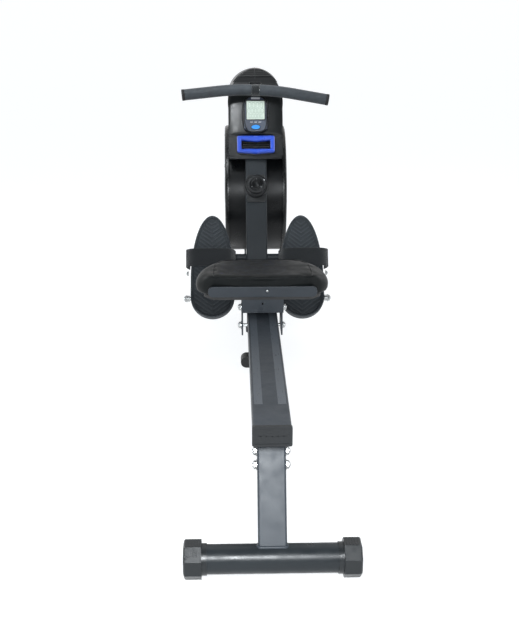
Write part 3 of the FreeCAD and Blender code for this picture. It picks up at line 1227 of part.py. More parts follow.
def check_all():
    for item in doc.Objects:
        bad = [state for state in item.State if state in ("Invalid", "Error")]
        if bad:
            raise RuntimeError(f"{item.Label} is {bad}")
    for label, item in NODES.items():
        shape = item.Shape
        if shape.isNull() or not shape.isValid() or not shape.Solids:
            raise RuntimeError(f"{label} has no valid solid")


def export_all():
    os.makedirs("parts", exist_ok=True)
    for label, item in NODES.items():
        item.Shape.exportStep(f"parts/{label}.step")
        print(f"{label}: {len(item.Shape.Solids)} solids, {item.Shape.Volume / 1000:.1f} cm3")


fill_sheet()
make_rail()
make_rail_end_cap()
make_rail_stops()
make_rail_brackets()
make_rear_post()
make_post_bolts()
make_feet()
make_base_beam()
make_mid_foot()
make_mast()
make_stop_bar()
make_fold_cheeks()
make_fold_pin()
make_lock_knob()
make_axle_plates()
make_pedals()
make_pedal_axle()
make_drive()
make_belt()
make_pins()
make_tension_cable()
make_shroud()
make_side_covers()
make_fascia()
make_handle_rest()
make_console()
make_knob()
make_handle()
make_strap()
make_carriage()
make_rollers()
make_seat()
doc.recompute()
check_all()
export_all()
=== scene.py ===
"""The looks of a folding rowing machine, built over its CAD frame. Metres; +Z up, +Y from the rear foot
to the flywheel, +X to the rower's right."""
import json
from math import copysign, cos, pi, radians, sin, sqrt

import bmesh
import bpy
from mathutils import Matrix, Vector, noise


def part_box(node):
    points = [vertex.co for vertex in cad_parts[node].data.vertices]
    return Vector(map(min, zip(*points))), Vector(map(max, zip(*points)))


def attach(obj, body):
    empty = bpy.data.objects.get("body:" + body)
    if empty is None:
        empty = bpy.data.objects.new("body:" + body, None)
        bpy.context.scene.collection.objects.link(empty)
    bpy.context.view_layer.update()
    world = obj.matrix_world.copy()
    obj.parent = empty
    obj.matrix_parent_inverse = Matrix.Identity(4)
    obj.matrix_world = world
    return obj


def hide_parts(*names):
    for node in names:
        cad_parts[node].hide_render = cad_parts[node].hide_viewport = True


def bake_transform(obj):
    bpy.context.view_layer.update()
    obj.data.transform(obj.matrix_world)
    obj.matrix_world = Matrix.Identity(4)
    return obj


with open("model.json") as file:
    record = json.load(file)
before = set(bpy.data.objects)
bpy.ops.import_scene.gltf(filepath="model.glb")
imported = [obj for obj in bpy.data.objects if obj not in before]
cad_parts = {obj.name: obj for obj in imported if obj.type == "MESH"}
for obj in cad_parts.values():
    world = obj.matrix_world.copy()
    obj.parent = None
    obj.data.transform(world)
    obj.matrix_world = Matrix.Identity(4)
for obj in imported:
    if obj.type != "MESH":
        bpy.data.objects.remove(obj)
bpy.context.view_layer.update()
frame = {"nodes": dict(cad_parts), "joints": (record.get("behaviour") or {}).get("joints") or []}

NODES = frame["nodes"]
PIVOT = {joint["name"]: Vector(joint["pos_m"]) for joint in frame["joints"] if "pos_m" in joint}
SIDES = ((-1, "left"), (1, "right"))
TURN = 2 * pi
ACROSS, ALONG_FOOT = Vector((1, 0, 0)), Vector((0, 1, 0))
MM = 0.001


# ---- local frames

at = Matrix.Translation  # at(spot) moves to a spot


def sideways(side, x, y, z):
    """A frame at side * x, y and z whose z axis points to that side of the machine."""
    return at((side * x, y, z)) @ facing((side, 0, 0))


def leaning(degrees, origin):
    """A frame at origin whose upward axis leans forwards."""
    return at(origin) @ Matrix.Rotation(radians(-degrees), 4, "X")


# each one's lean in degrees, and its origin
FASCIA = leaning(27, (0, 0.5115, 0.566))
MAST = leaning(25, (0, 0.3042, 0.045))
POST = leaning(26.7, (0, -0.9015, 0.036))
PEDAL_TILT, PEDAL_X = 60.2, 0.137
HEEL_TO_AXLE, AXLE_TO_TREAD = 0.070, 0.030
FOOT_RADIUS = 0.029
FRONT_FOOT_Y, FRONT_FOOT_Z = 0.8605, 0.036


def pedal_frame(side):
    """x across the foot plate, y from heel to toe, z out of its tread."""
    axle = PIVOT["pedal_left_tilt"]
    turn = Matrix.Rotation(radians(PEDAL_TILT), 4, "X")
    return at((side * PEDAL_X, axle.y, axle.z)) @ turn @ at((0, -HEEL_TO_AXLE, AXLE_TO_TREAD))


# ---- materials

NOISE_SPAN = (0.3, 0.7)  # nearly all of a noise texture's values


class Finish:
    """A material under construction, with short calls for its nodes."""

    def __init__(self, name, colour, rough, metallic=0.0, coat=0.0, specular=0.5, sheen=0.0):
        self.material = bpy.data.materials.new(name)
        self.material.use_nodes = True
        self.tree = self.material.node_tree
        self.link = self.tree.links.new
        self.shader = self.tree.nodes["Principled BSDF"]
        self.colour = colour
        for socket, value in (("Base Color", (*colour, 1)), ("Roughness", rough), ("Metallic", metallic),
                              ("Coat Weight", coat), ("Coat Roughness", 0.08),
                              ("Specular IOR Level", specular), ("Sheen Weight", sheen)):
            self.set(socket, value)
        self.place = self.tree.nodes.new("ShaderNodeTexCoord")

    def set(self, socket, value):
        self.shader.inputs[socket].default_value = value

    def add(self, kind, source=None, into=0, **values):
        made = self.tree.nodes.new("ShaderNode" + kind)
        for key, value in values.items():
            if hasattr(made, key):
                setattr(made, key, value)
            else:
                made.inputs[key.replace("_", " ").title()].default_value = value
        if source is not None:
            self.link(source, made.inputs[into])
        return made

    def where(self, stretch=(1, 1, 1)):
        mapping = self.add("Mapping", self.place.outputs["Object"])
        mapping.inputs["Scale"].default_value = stretch
        return mapping.outputs[0]

    def noise(self, scale, detail, stretch=(1, 1, 1)):
        return self.add("TexNoise", self.where(stretch), scale=scale, detail=detail).outputs["Fac"]

    def cells(self, scale, feature="F1"):
        return self.add("TexVoronoi", self.where(), feature=feature, scale=scale).outputs["Distance"]

    def remap(self, source, *ranges):
        made = self.add("MapRange", source)
        for socket, value in zip(("From Min", "From Max", "To Min", "To Max"), ranges):
            made.inputs[socket].default_value = value
        return made.outputs[0]

    def vary_colour(self, source, darkest, lightest, span=NOISE_SPAN):
        """The colour times a grey that goes from darkest to lightest as the source crosses the span."""
        ramp = self.add("ValToRGB", self.remap(source, *span, 0, 1))
        for stop, share in zip(ramp.color_ramp.elements, (darkest, lightest)):
            stop.color = (*[min(1.0, channel * share) for channel in self.colour], 1)
        self.link(ramp.outputs[0], self.shader.inputs["Base Color"])

    def vary_rough(self, source, least, most, span=NOISE_SPAN):
        self.link(self.remap(source, *span, least, most), self.shader.inputs["Roughness"])

    def bump(self, source, depth, strength=1.0):
        """Adds relief of that depth in metres; a second call adds to the first."""
        made = self.add("Bump", strength=strength, distance=depth)
        self.link(source, made.inputs["Height"])
        before = self.shader.inputs["Normal"].links
        if before:
            self.link(before[0].from_socket, made.inputs["Normal"])
        self.link(made.outputs[0], self.shader.inputs["Normal"])

    def math(self, operation, first, second=None):
        """A Math node; each of its two values is a number or a socket."""
        made = self.add("Math", operation=operation)
        for place, value in enumerate((first, second)):
            if isinstance(value, (int, float)):
                made.inputs[place].default_value = value
            elif value is not None:
                self.link(value, made.inputs[place])
        return made.outputs[0]

    def wave(self, source, length):
        """A sine of the source with that wavelength."""
        return self.math("SINE", self.math("MULTIPLY", source, TURN / length))


def powder_coat(name, colour, rough, specular):
    """Painted steel with a slight orange peel."""
    finish = Finish(name, colour, rough, specular=specular)
    finish.vary_colour(finish.noise(9, 4), 0.88, 1.12)
    finish.vary_rough(finish.noise(35, 5), rough - 0.07, rough + 0.08)
    finish.bump(finish.noise(900, 2), 0.00012, 0.5)
    return finish.material


def moulded(name, colour, rough, grain=1400, depth=0.00012, coat=0.0, specular=0.4):
    """Moulded plastic with a spark-eroded grain."""
    finish = Finish(name, colour, rough, coat=coat, specular=specular)
    finish.vary_colour(finish.noise(14, 4), 0.82, 1.16)
    finish.vary_rough(finish.noise(60, 4), rough - 0.08, rough + 0.08)
    finish.bump(finish.cells(grain), depth, 0.6)
    return finish.material


def glossy_shell(name, colour, rough, coat, specular=0.5):
    """Smooth plastic with faint waves and smears."""
    finish = Finish(name, colour, rough, coat=coat, specular=specular)
    finish.vary_colour(finish.noise(6, 3), 0.9, 1.1)
    finish.vary_rough(finish.noise(22, 6), rough - 0.04, rough + 0.1, (0.3, 0.75))
    finish.bump(finish.noise(260, 2), 0.00006, 0.3)
    return finish.material


def metal(name, colour, rough, stretch=(1, 1, 1)):
    """Bare or plated metal, with fine marks that a stretch draws out into lathe lines."""
    finish = Finish(name, colour, rough, metallic=1.0)
    finish.vary_colour(finish.noise(300, 4, stretch), 0.8, 1.1)
    finish.vary_rough(finish.noise(500, 5, stretch), rough - 0.1, rough + 0.14)
    finish.bump(finish.noise(1600, 3, stretch), 0.00003, 0.4)
    return finish.material


def vinyl(name, colour):
    """Leather-grained vinyl: small pebbles, finer pores and soft wrinkles."""
    finish = Finish(name, colour, 0.48, specular=0.16)
    finish.vary_colour(finish.noise(18, 5), 0.8, 1.25)
    finish.vary_rough(finish.noise(40, 5), 0.38, 0.54)
    finish.bump(finish.noise(26, 4, (1, 0.4, 1)), 0.0006, 0.25)
    finish.bump(finish.cells(620, feature="SMOOTH_F1"), 0.0003, 0.55)
    finish.bump(finish.noise(2200, 2), 0.00008, 0.4)
    return finish.material


def webbing(name, colour, rib=0.0016):
    """Woven nylon: ribs across the band and threads along it, in the band's own UV metres; its colour
    follows the relief, with painted shade in the hollows and painted highlight on the crossings.
    """
    finish = Finish(name, colour, 0.78, specular=0.25, sheen=0.35)
    split = finish.add("SeparateXYZ", finish.place.outputs["UV"])
    across, along = finish.wave(split.outputs[0], rib), finish.wave(split.outputs[1], rib * 0.8)
    weave = finish.math("MULTIPLY", across, along)
    # painted shade in the weave's hollows and painted highlight on its crossings
    finish.vary_colour(weave, 0.55, 1.3, (-1, 1))
    finish.bump(weave, 0.0003, 0.8)
    finish.bump(finish.noise(700, 3), 0.0001, 0.4)
    return finish.material


def foam(name, colour):
    """Closed-cell foam with fine pores."""
    finish = Finish(name, colour, 0.62, specular=0.4, sheen=0.15)
    finish.vary_colour(finish.noise(30, 5), 0.82, 1.18)
    finish.vary_rough(finish.noise(90, 4), 0.5, 0.72)
    finish.bump(finish.cells(900), 0.0003, 0.7)
    finish.bump(finish.noise(2500, 3), 0.0001, 0.5)
    return finish.material


def liquid_crystal(name):
    """The pale green glass of the display, with the faint grid of its unlit dots."""
    finish = Finish(name, (0.52, 0.60, 0.53), 0.3, coat=0.1)
    split = finish.add("SeparateXYZ", finish.where())
    columns, rows = [finish.wave(split.outputs[axis], 0.0033) for axis in (0, 2)]
    dots = finish.math("MAXIMUM", columns, rows)
    finish.vary_colour(dots, 1.0, 0.88, (0.7, 1.0))
    finish.vary_rough(finish.noise(50, 3), 0.2, 0.3)
    return finish.material


def rubber(name, colour):
    finish = Finish(name, colour, 0.7, specular=0.35)
    finish.vary_colour(finish.noise(40, 4), 0.75, 1.2)
    finish.bump(finish.noise(900, 4), 0.0002, 0.6)
    return finish.material


def stained_wood(name, colour):
    finish = Finish(name, colour, 0.6)
    finish.vary_colour(finish.noise(25, 6, (1, 12, 12)), 0.7, 1.3)
    finish.bump(finish.noise(120, 5, (1, 12, 12)), 0.0002, 0.5)
    return finish.material


def polished(name, colour, rough):
    """Paint rubbed smooth by the rollers, with streaks along the rail."""
    finish = Finish(name, colour, rough)
    streaks = finish.noise(60, 6, (14, 0.6, 1))
    finish.vary_colour(streaks, 0.88, 1.16, (0.35, 0.65))
    finish.vary_rough(streaks, rough - 0.04, rough + 0.14)
    finish.bump(finish.noise(700, 3, (8, 0.5, 1)), 0.00006, 0.4)
    return finish.material


PAINT = powder_coat("slate_powder_coat", (0.030, 0.037, 0.046), 0.44, 0.35)
# the frame's own powder coat at half brightness for the front parts, which lie further from the light:
# painted shade
PAINT_SHADED = powder_coat("frame_coat_painted_shade", (0.014, 0.0185, 0.023), 0.40, 0.3)
PLASTIC = moulded("black_moulding", (0.011, 0.0125, 0.014), 0.5)
FOOT = powder_coat("foot_tube_coat", (0.013, 0.0165, 0.0195), 0.34, 0.3)
CAP = moulded("foot_cap_moulding", (0.010, 0.0122, 0.0138), 0.34, 1100, specular=0.4)
TREAD = moulded("tread_moulding", (0.030, 0.037, 0.044), 0.62, 900, 0.0002)
TREAD_RIB = moulded("tread_rib", (0.046, 0.055, 0.063), 0.6, 900, 0.0002)
SHELL = glossy_shell("gloss_black_shell", (0.0034, 0.0042, 0.0050), 0.30, 0.0, 0.24)
SATIN = moulded("satin_black_panel", (0.0075, 0.0088, 0.0095), 0.36, 1500, 0.00008, 0.05, 0.35)
COVER = moulded("cover_texture", (0.005, 0.006, 0.0065), 0.3, 1200, 0.0001, 0.1, 0.35)
CONSOLE = moulded("console_moulding", (0.050, 0.062, 0.088), 0.36, 1600, 0.00006, 0.1)
BLUE = glossy_shell("royal_blue_plastic", (0.022, 0.075, 0.52), 0.24, 0.3)
BUTTON = glossy_shell("bright_blue_plastic", (0.04, 0.26, 0.72), 0.2, 0.3)
STEEL = metal("zinc_plating", (0.46, 0.47, 0.47), 0.3)
CHROME = metal("chrome_tube", (0.72, 0.73, 0.74), 0.14)
IRON = metal("turned_iron", (0.25, 0.24, 0.235), 0.42, (0.2, 1, 1))
SILVER = moulded("silver_print", (0.52, 0.54, 0.57), 0.4, 1600, 0.00004)
WHITE = moulded("white_dot", (0.75, 0.76, 0.78), 0.4, 1600, 0.00003)
VINYL = vinyl("black_vinyl", (0.0062, 0.0078, 0.0082))
WEB = webbing("nylon_webbing", (0.011, 0.014, 0.017))
LOOP = webbing("hook_and_loop", (0.008, 0.011, 0.013), 0.0011)
THREAD = webbing("stitching_thread", (0.05, 0.055, 0.06), 0.0006)
FOAM = foam("grip_foam", (0.030, 0.037, 0.044))
LCD = liquid_crystal("display_glass")
SEGMENT = moulded("display_segment", (0.20, 0.27, 0.22), 0.4)
RUBBER = rubber("black_rubber", (0.015, 0.015, 0.016))
WOOD = stained_wood("stained_board", (0.02, 0.02, 0.021))
TRACK = polished("polished_track", (0.060, 0.071, 0.085), 0.3)

CAD_FINISH = {
    PAINT: "rail_beam rear_post seat_carriage rail_brackets",
    # the front parts take the darkened coat, a painted shade
    PAINT_SHADED: "mast fold_cheeks pedal_stop_bar base_beam axle_plates",
    FOOT: "rear_foot_tube front_foot_tube",
    CAP: "rear_foot_caps front_foot_caps",
    PLASTIC: "mid_foot rail_end_cap rail_stops knob_base resistance_knob lock_knob guide_roller"
             " strap_spool drive_pulley flywheel_pulley transport_wheel_left transport_wheel_right"
             " seat_rollers_rear seat_rollers_front seat_rollers_under",
    STEEL: "post_bolts fold_pin pedal_axle drive_axles pivot_pins roller_bolts flywheel_bearings"
           " return_spring",
    TREAD: "pedal_left pedal_right",
    WEB: "foot_strap_left foot_strap_right pull_strap strap_loop",
    IRON: "flywheel brake_arm",
    RUBBER: "drive_belt tension_cable",
    SHELL: "shroud_left shroud_right",
    COVER: "side_cover_left side_cover_right",
    SATIN: "fascia",
    BLUE: "handle_rest",
    BUTTON: "console_button",
    CONSOLE: "console_case",
    LCD: "console_lens",
    CHROME: "handle_bar",
    FOAM: "handle_grips",
    WOOD: "seat_board",
    VINYL: "seat_pad",
}


def finish_cad_nodes():
    for material, names in CAD_FINISH.items():
        for name in names.split():
            slots = NODES[name].data.materials
            slots.clear()
            slots.append(material)


# ---- mesh helpers

def put(name, data, matrix):
    made = bpy.data.objects.new(name, data)
    bpy.context.scene.collection.objects.link(made)
    made.matrix_world = matrix
    return made


def bevelled(made, width):
    edge = made.modifiers.new("edge", "BEVEL")
    edge.width, edge.segments, edge.limit_method = width, 2, "ANGLE"
    return edge


def piece(name, verts, faces, material, body, matrix=Matrix(), smooth=True, bevel=0.0):
    """A mesh object with consistent normals, which rides on a body if one is given."""
    mesh = bpy.data.meshes.new(name)
    mesh.from_pydata([tuple(v) for v in verts], [], faces)
    mesh.validate()
    tidy = bmesh.new()
    tidy.from_mesh(mesh)
    bmesh.ops.recalc_face_normals(tidy, faces=tidy.faces)
    tidy.to_mesh(mesh)
    tidy.free()
    mesh.materials.append(material)
    for face in mesh.polygons:
        face.use_smooth = smooth
    made = put(name, mesh, matrix)
    if bevel:
        bevelled(made, bevel).angle_limit = radians(40)
    bpy.context.view_layer.update()
    if body:
        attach(made, body)
    return made


def part(name, shape, material, body, slot, place=Matrix(), **how):
    """A piece from a shape's (verts, faces); the slot is not used."""
    piece(name, *shape, material, body, place, **how)


def prism(outline, low, high):
    """An outline in x and y, from low to high along z."""
    count = len(outline)
    verts = [(x, y, z) for z in (low, high) for x, y in outline]
    sides = [(i, (i + 1) % count, count + (i + 1) % count, count + i) for i in range(count)]
    return verts, sides + [tuple(reversed(range(count))), tuple(range(count, 2 * count))]


def rings_to_mesh(rings, close_ends=True):
    """A skin over rings of points that all have the same count."""
    count = len(rings[0])
    verts = [v for ring in rings for v in ring]
    faces = []
    for low in range(0, (len(rings) - 1) * count, count):
        high = low + count
        for i in range(count):
            j = (i + 1) % count
            faces.append((low + i, low + j, high + j, high + i))
    if close_ends:
        faces.append(tuple(reversed(range(count))))
        faces.append(tuple(range((len(rings) - 1) * count, len(rings) * count)))
    return verts, faces


def merged(shapes):
    verts, faces = [], []
    for more_verts, more_faces in shapes:
        faces += [tuple(i + len(verts) for i in face) for face in more_faces]
        verts += [tuple(v) for v in more_verts]
    return verts, faces


def moved(shape, matrix):
    verts, faces = shape
    return [matrix @ Vector(v) for v in verts], faces


def circle(radius, count, start=0.0):
    angles = [start + TURN * i / count for i in range(count)]
    return [(radius * cos(angle), radius * sin(angle)) for angle in angles]


def lathe(profile, count=48):
    """Turns a profile of (radius, height) round the z axis."""
    return rings_to_mesh([[(x, y, z) for x, y in circle(radius, count)] for radius, z in profile])


def facing(direction):
    """Turns the z axis to a direction."""
    return Vector(direction).to_track_quat("Z", "Y").to_matrix().to_4x4()


def bead(points, radius, closed=False, sides=8, wobble=0.0):
    """A round bead along points, with ripples for a weld."""
    rings, side = [], None
    count = len(points)
    for i, point in enumerate(points):
        here = Vector(point)
        ahead = Vector(points[(i + 1) % count] if closed or i + 1 < count else points[i])
        behind = Vector(points[i - 1] if closed or i else points[i])
        along = (ahead - behind).normalized()
        side = along.orthogonal() if side is None else side - along * side.dot(along)
        side = side.normalized()
        up = along.cross(side)
        size = radius * (1 + wobble * (i % 2))
        rings.append([here + side * size * cos(a) + up * size * sin(a)
                      for a in (TURN * s / sides for s in range(sides))])
    if closed:
        return rings_to_mesh(rings + rings[:1], close_ends=False)
    return rings_to_mesh(rings)


def smooth_path(points, steps):
    """A Catmull-Rom curve through points."""
    points = [Vector(p) for p in points]
    padded = [2 * points[0] - points[1]] + points + [2 * points[-1] - points[-2]]
    path = []
    for i in range(1, len(padded) - 2):
        a, b, c, d = padded[i - 1:i + 3]
        for step in range(steps):
            t = step / steps
            path.append(0.5 * (2 * b + (c - a) * t + (2 * a - 5 * b + 4 * c - d) * t * t
                               + (3 * b - 3 * c + d - a) * t ** 3))
    return path + [points[-1]]


def tangent_at(path, i):
    """The direction of a path at its point i."""
    return (path[min(i + 1, len(path) - 1)] - path[max(i - 1, 0)]).normalized()


def band(name, path, width_axis, width, thick, material, body, matrix=Matrix(), across=10, ripple=0.0):
    """A flat band of webbing along a path, with UVs in metres, u across and v along."""
    axis = Vector(width_axis).normalized()
    verts, uv = [], []
    run = 0.0
    for i, point in enumerate(path):
        if i:
            run += (path[i] - path[i - 1]).length
        normal = tangent_at(path, i).cross(axis).normalized()
        for k in range(across + 1):
            share = k / across - 0.5
            lift = ripple * noise.noise(Vector((share * 3, run * 30, 0.3)))
            verts.append(point + axis * width * share + normal * lift)
            uv.append((width * share, run))
    row = across + 1
    faces = [(i * row + k, i * row + k + 1, (i + 1) * row + k + 1, (i + 1) * row + k)
             for i in range(len(path) - 1) for k in range(across)]
    made = piece(name, verts, faces, material, None, matrix)
    layer = made.data.uv_layers.new(name="weave")
    for loop in made.data.loops:
        layer.data[loop.index].uv = uv[loop.vertex_index]
    solid = made.modifiers.new("thickness", "SOLIDIFY")
    solid.thickness, solid.offset = thick, 0.0
    bevelled(made, thick * 0.35)
    if body:
        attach(made, body)
    return made


def hexagon_nut(radius, height):
    """A chamfered hexagon nut on a washer that stands on z = 0, with the end of its thread above it."""
    flats = circle(radius, 6)
    rings = [[(x * share, y * share, height * up) for x, y in flats]
             for share, up in ((1, 0), (1, 0.85), (0.88, 1))]
    tip = ((0.5, 0.9), (0.5, 1.25), (0.42, 1.35))
    thread = lathe([(radius * share, height * up) for share, up in tip], 20)
    washer = lathe([(radius * 1.25, height * up) for up in (0, 0.18)], 28)
    return merged([rings_to_mesh(rings), thread, washer])


# ---- seat

SEAT_FALL_FROM = 0.45  # share of the seat's length where its top starts to slope down
SEAT_FALL = 0.36  # share of its height that is gone at the front
SEAT_DISH = 0.0045
PUFF_STEPS = 14


def chaikin(points, first, times):
    """Cuts a closed outline's corners until it is round; first is how far in the first cut starts."""
    for turn in range(times):
        cut = 0.25 if turn else first
        points = [tuple(a[k] + share * (b[k] - a[k]) for k in range(2))
                  for a, b in zip(points, points[1:] + points[:1]) for share in (cut, 1 - cut)]
    return points


def mirrored(right):
    """A closed outline from its right half, which is given from the rear to the front."""
    left = [(-x, y) for x, y in right]
    return left[:1] + right + left[:0:-1]


def fallen(y, z):
    """The height z on the seat at y, once its front part slopes down towards the rower's knees."""
    low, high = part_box("seat_pad")
    ahead = max(0.0, (y - low.y) / (high.y - low.y) - SEAT_FALL_FROM) / (1 - SEAT_FALL_FROM)
    return low.z + (z - low.z) * (1 - SEAT_FALL * ahead ** 1.6)


def seat_rings():
    """Rings round the seat from its underside, up its bulging flanks, to the flat of its top."""
    low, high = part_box("seat_pad")
    half, rear, front = high.x, low.y, high.y
    length = front - rear
    base = mirrored([(0.80 * half, rear + 0.020), (half, rear + 0.24 * length),
                     (half, rear + 0.46 * length), (0.62 * half, front)])
    crest = mirrored([(0.73 * half, rear + 0.003), (0.74 * half, rear + 0.20 * length),
                      (0.72 * half, rear + 0.50 * length), (0.56 * half, front - 0.022)])
    base, crest = chaikin(base, 0.2, 4), chaikin(crest, 0.13, 4)
    middle = Vector((0, rear + 0.5 * length))
    flank_start = low.z + 0.017
    top = high.z - 0.003

    def ring(outline, across, along, z):
        return [(x * across, middle.y + (y - middle.y) * along, z) for x, y in outline]

    rings = [ring(base, 0.93, 0.95, low.z + 0.001), ring(base, 0.985, 0.99, low.z + 0.005)]
    for part in range(9):
        turn = radians(90 * part / 8)
        share = 1 - cos(turn)
        z = flank_start + (top - flank_start) * sin(turn)
        rings.append([(bx + (cx - bx) * share, by + (cy - by) * share, z)
                      for (bx, by), (cx, cy) in zip(base, crest)])
    for shrink in (0.94, 0.8, 0.6, 0.4, 0.2, 0.05):
        rings.append(ring(crest, shrink, shrink, top - SEAT_DISH * (1 - shrink ** 2)))
    return [[(x, y, fallen(y, z)) for x, y, z in points] for points in rings], crest, top


def puff(pad, most):
    """Fills the cushion by cloth simulation, moving no point further than most."""
    flat = [v.co.copy() for v in pad.data.vertices]
    cloth = pad.modifiers.new("filling", "CLOTH")
    cloth.settings.use_pressure = True
    cloth.settings.uniform_pressure_force = 4
    cloth.settings.effector_weights.gravity = 0
    cloth.settings.quality = 5
    held = pad.vertex_groups.new(name="held")
    held_up_to = min(v.co.z for v in pad.data.vertices) + 0.006
    held.add([v.index for v in pad.data.vertices if v.co.z < held_up_to], 1.0, "REPLACE")
    cloth.settings.vertex_group_mass = "held"
    for step in range(1, PUFF_STEPS + 1):
        bpy.context.scene.frame_set(step)
    shape = pad.evaluated_get(bpy.context.evaluated_depsgraph_get()).to_mesh()
    puffed = [v.co.copy() for v in shape.vertices]
    outward = [v.normal.copy() for v in pad.data.vertices]
    pad.modifiers.remove(cloth)
    bpy.context.scene.frame_set(1)
    for vertex, start, end, normal in zip(pad.data.vertices, flat, puffed, outward):
        shift = normal * max(0.0, (end - start).dot(normal))
        vertex.co = start + (shift * (most / shift.length) if shift.length > most else shift)


def build_seat():
    """The cushion, the welt along its crest, and the painted plate and screw under its rear edge."""
    rings, crest, top = seat_rings()
    pad = piece("seat_cushion", *rings_to_mesh(rings), VINYL, None)
    remesh = pad.modifiers.new("even", "REMESH")
    remesh.mode, remesh.voxel_size, remesh.use_smooth_shade = "VOXEL", 0.005, True
    bpy.context.view_layer.objects.active = pad
    pad.select_set(True)
    bpy.ops.object.modifier_apply(modifier="even")
    puff(pad, 0.0025)
    pad.select_set(False)
    smooth = pad.modifiers.new("smooth", "SUBSURF")
    smooth.levels = smooth.render_levels = 1
    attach(pad, "seat")
    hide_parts("seat_pad")

    proud = 0.0008
    line = [(x * 0.995, y + proud, fallen(y, top) + proud) for x, y in crest]
    part("seat_welt", bead(line, 0.0015, closed=True), VINYL, "seat", "vinyl")

    low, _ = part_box("seat_pad")
    half, tall, deep, thick = 0.135, 0.027, 0.004, 0.003
    rear = low.y + 0.0175
    outline = rectangle(0, tall / 2, half, tall / 2, 0.0115)
    place = at((0, rear, low.z + 0.001)) @ Matrix.Rotation(radians(90), 4, "X")
    part("seat_rear_panel", prism(outline, -deep, thick), PAINT, "seat", "frame_paint", place,
         smooth=False, bevel=0.0012)
    place = at((0.011, rear - thick, low.z + 0.017)) @ facing((0, -1, 0))
    head = lathe([(0.0032, -0.002), (0.0032, 0.0008), (0.0024, 0.0018), (0.0010, 0.0021)], 24)
    part("seat_panel_screw", head, STEEL, "seat", "bolts", place)


# ---- pedals and their straps

TREAD_HALF = 0.067
FLANK = 0.120
TOE = 0.326 - FLANK


def tread_half_width(y, inset):
    """Half the width of the foot plate at y from its heel, less an inset."""
    half = TREAD_HALF - inset
    if y < TREAD_HALF:
        drop = TREAD_HALF - y
        return sqrt(max(0.0, half * half - drop * drop))
    if y < FLANK:
        return half
    share = (y - FLANK) / (TOE - inset)
    return half * sqrt(max(0.0, 1 - share * share))


def chevron_arm(first, last, rib, tall):
    """One arm of a chevron, its top face drawn in a little on every side."""
    outline = [first, last, (last[0], last[1] + rib), (first[0], first[1] + rib)]
    centre = Vector((sum(x for x, _ in outline) / 4, sum(y for _, y in outline) / 4, 0))
    verts, faces = prism(outline, -0.0005, tall)
    top = [(v.x + copysign(0.0004, centre.x - v.x), v.y + copysign(0.0005, centre.y - v.y), v.z)
           for v in map(Vector, verts[4:])]
    return verts[:4] + top, faces


def chevrons():
    """Raised V-shaped ribs over the tread, their points towards the heel."""
    parts = []
    pitch, rib, tall, slope, inset = 0.0135, 0.0040, 0.0018, 0.75, 0.0105
    first_apex, stride, rear, front = 0.012, 0.0015, 0.008, 0.318
    for row in range(-6, 26):
        apex = first_apex + pitch * row
        for side in (-1, 1):
            line = []
            for step in range(60):
                x = stride * step
                y = apex + slope * x
                room = min(tread_half_width(y, inset), tread_half_width(y + rib, inset))
                if rear < y < front and x < room:
                    line.append((side * x, y))
            if len(line) > 3:
                parts.append(chevron_arm(line[0], line[-1], rib, tall))
    return merged(parts)


def outline_path(inset, z, count=120):
    """The foot plate's edge less an inset: half an ellipse at the toe, half a circle at the heel."""
    path = []
    for i in range(count):
        angle = TURN * i / count
        if sin(angle) >= 0:
            y = FLANK + (TOE - inset) * sin(angle)
        else:
            y = TREAD_HALF + (TREAD_HALF - inset) * sin(angle)
        path.append(((TREAD_HALF - inset) * cos(angle), y, z))
    return path


def build_pedal(side, word):
    """The tread's chevrons and edges, the strap, and the nuts of the axle and of the strap's stud."""
    body, place = f"pedal_{word}", pedal_frame(side)
    part(f"pedal_chevrons_{word}", chevrons(), TREAD_RIB, body, "pedal_plastic", place, smooth=False)
    lip = [(x, y, 0.0245 - max(0.0, y - 0.025) * 0.3)
           for x, y, _ in outline_path(0.0025, 0) if y < 0.026]
    cup = [(x, y, 0.0014) for x, y, _ in outline_path(0.0115, 0) if y < 0.045]
    for name, line, radius, closed in (("pedal_border", outline_path(0.0066, 0.0008), 0.0019, True),
                                       ("heel_lip", sorted(lip), 0.0027, False),
                                       ("heel_ring", sorted(cup), 0.0016, False)):
        part(f"{name}_{word}", bead(line, radius, closed), TREAD, body, "pedal_plastic", place)
    build_foot_strap(side, word, body, place)
    for name, y, z, gap, radius, tall, held_by in (
            ("axle", HEEL_TO_AXLE, -AXLE_TO_TREAD, 0.0125, 0.0098, 0.0075, "frame"),
            ("strap", 0.143, -0.004, 0.0065, 0.0066, 0.0052, body)):
        spot = place @ sideways(side, TREAD_HALF + gap, y, z)
        part(f"{name}_nut_{word}", hexagon_nut(radius, tall), STEEL, held_by, "bolts", spot,
             smooth=False)


# a foot strap's arch: share of the foot plate's half width, outwards, and millimetres above the tread
STRAP_LINE = ((-1, -6), (-1, 16), (-0.80, 41), (-0.16, 47), (0.42, 46.6), (0.90, 44), (1.16, 31),
              (1.14, 13), (1, -6))
FLAP_SPAN = {"left": (26, 62), "right": (30, 64)}  # the points of the arch that the folded end covers


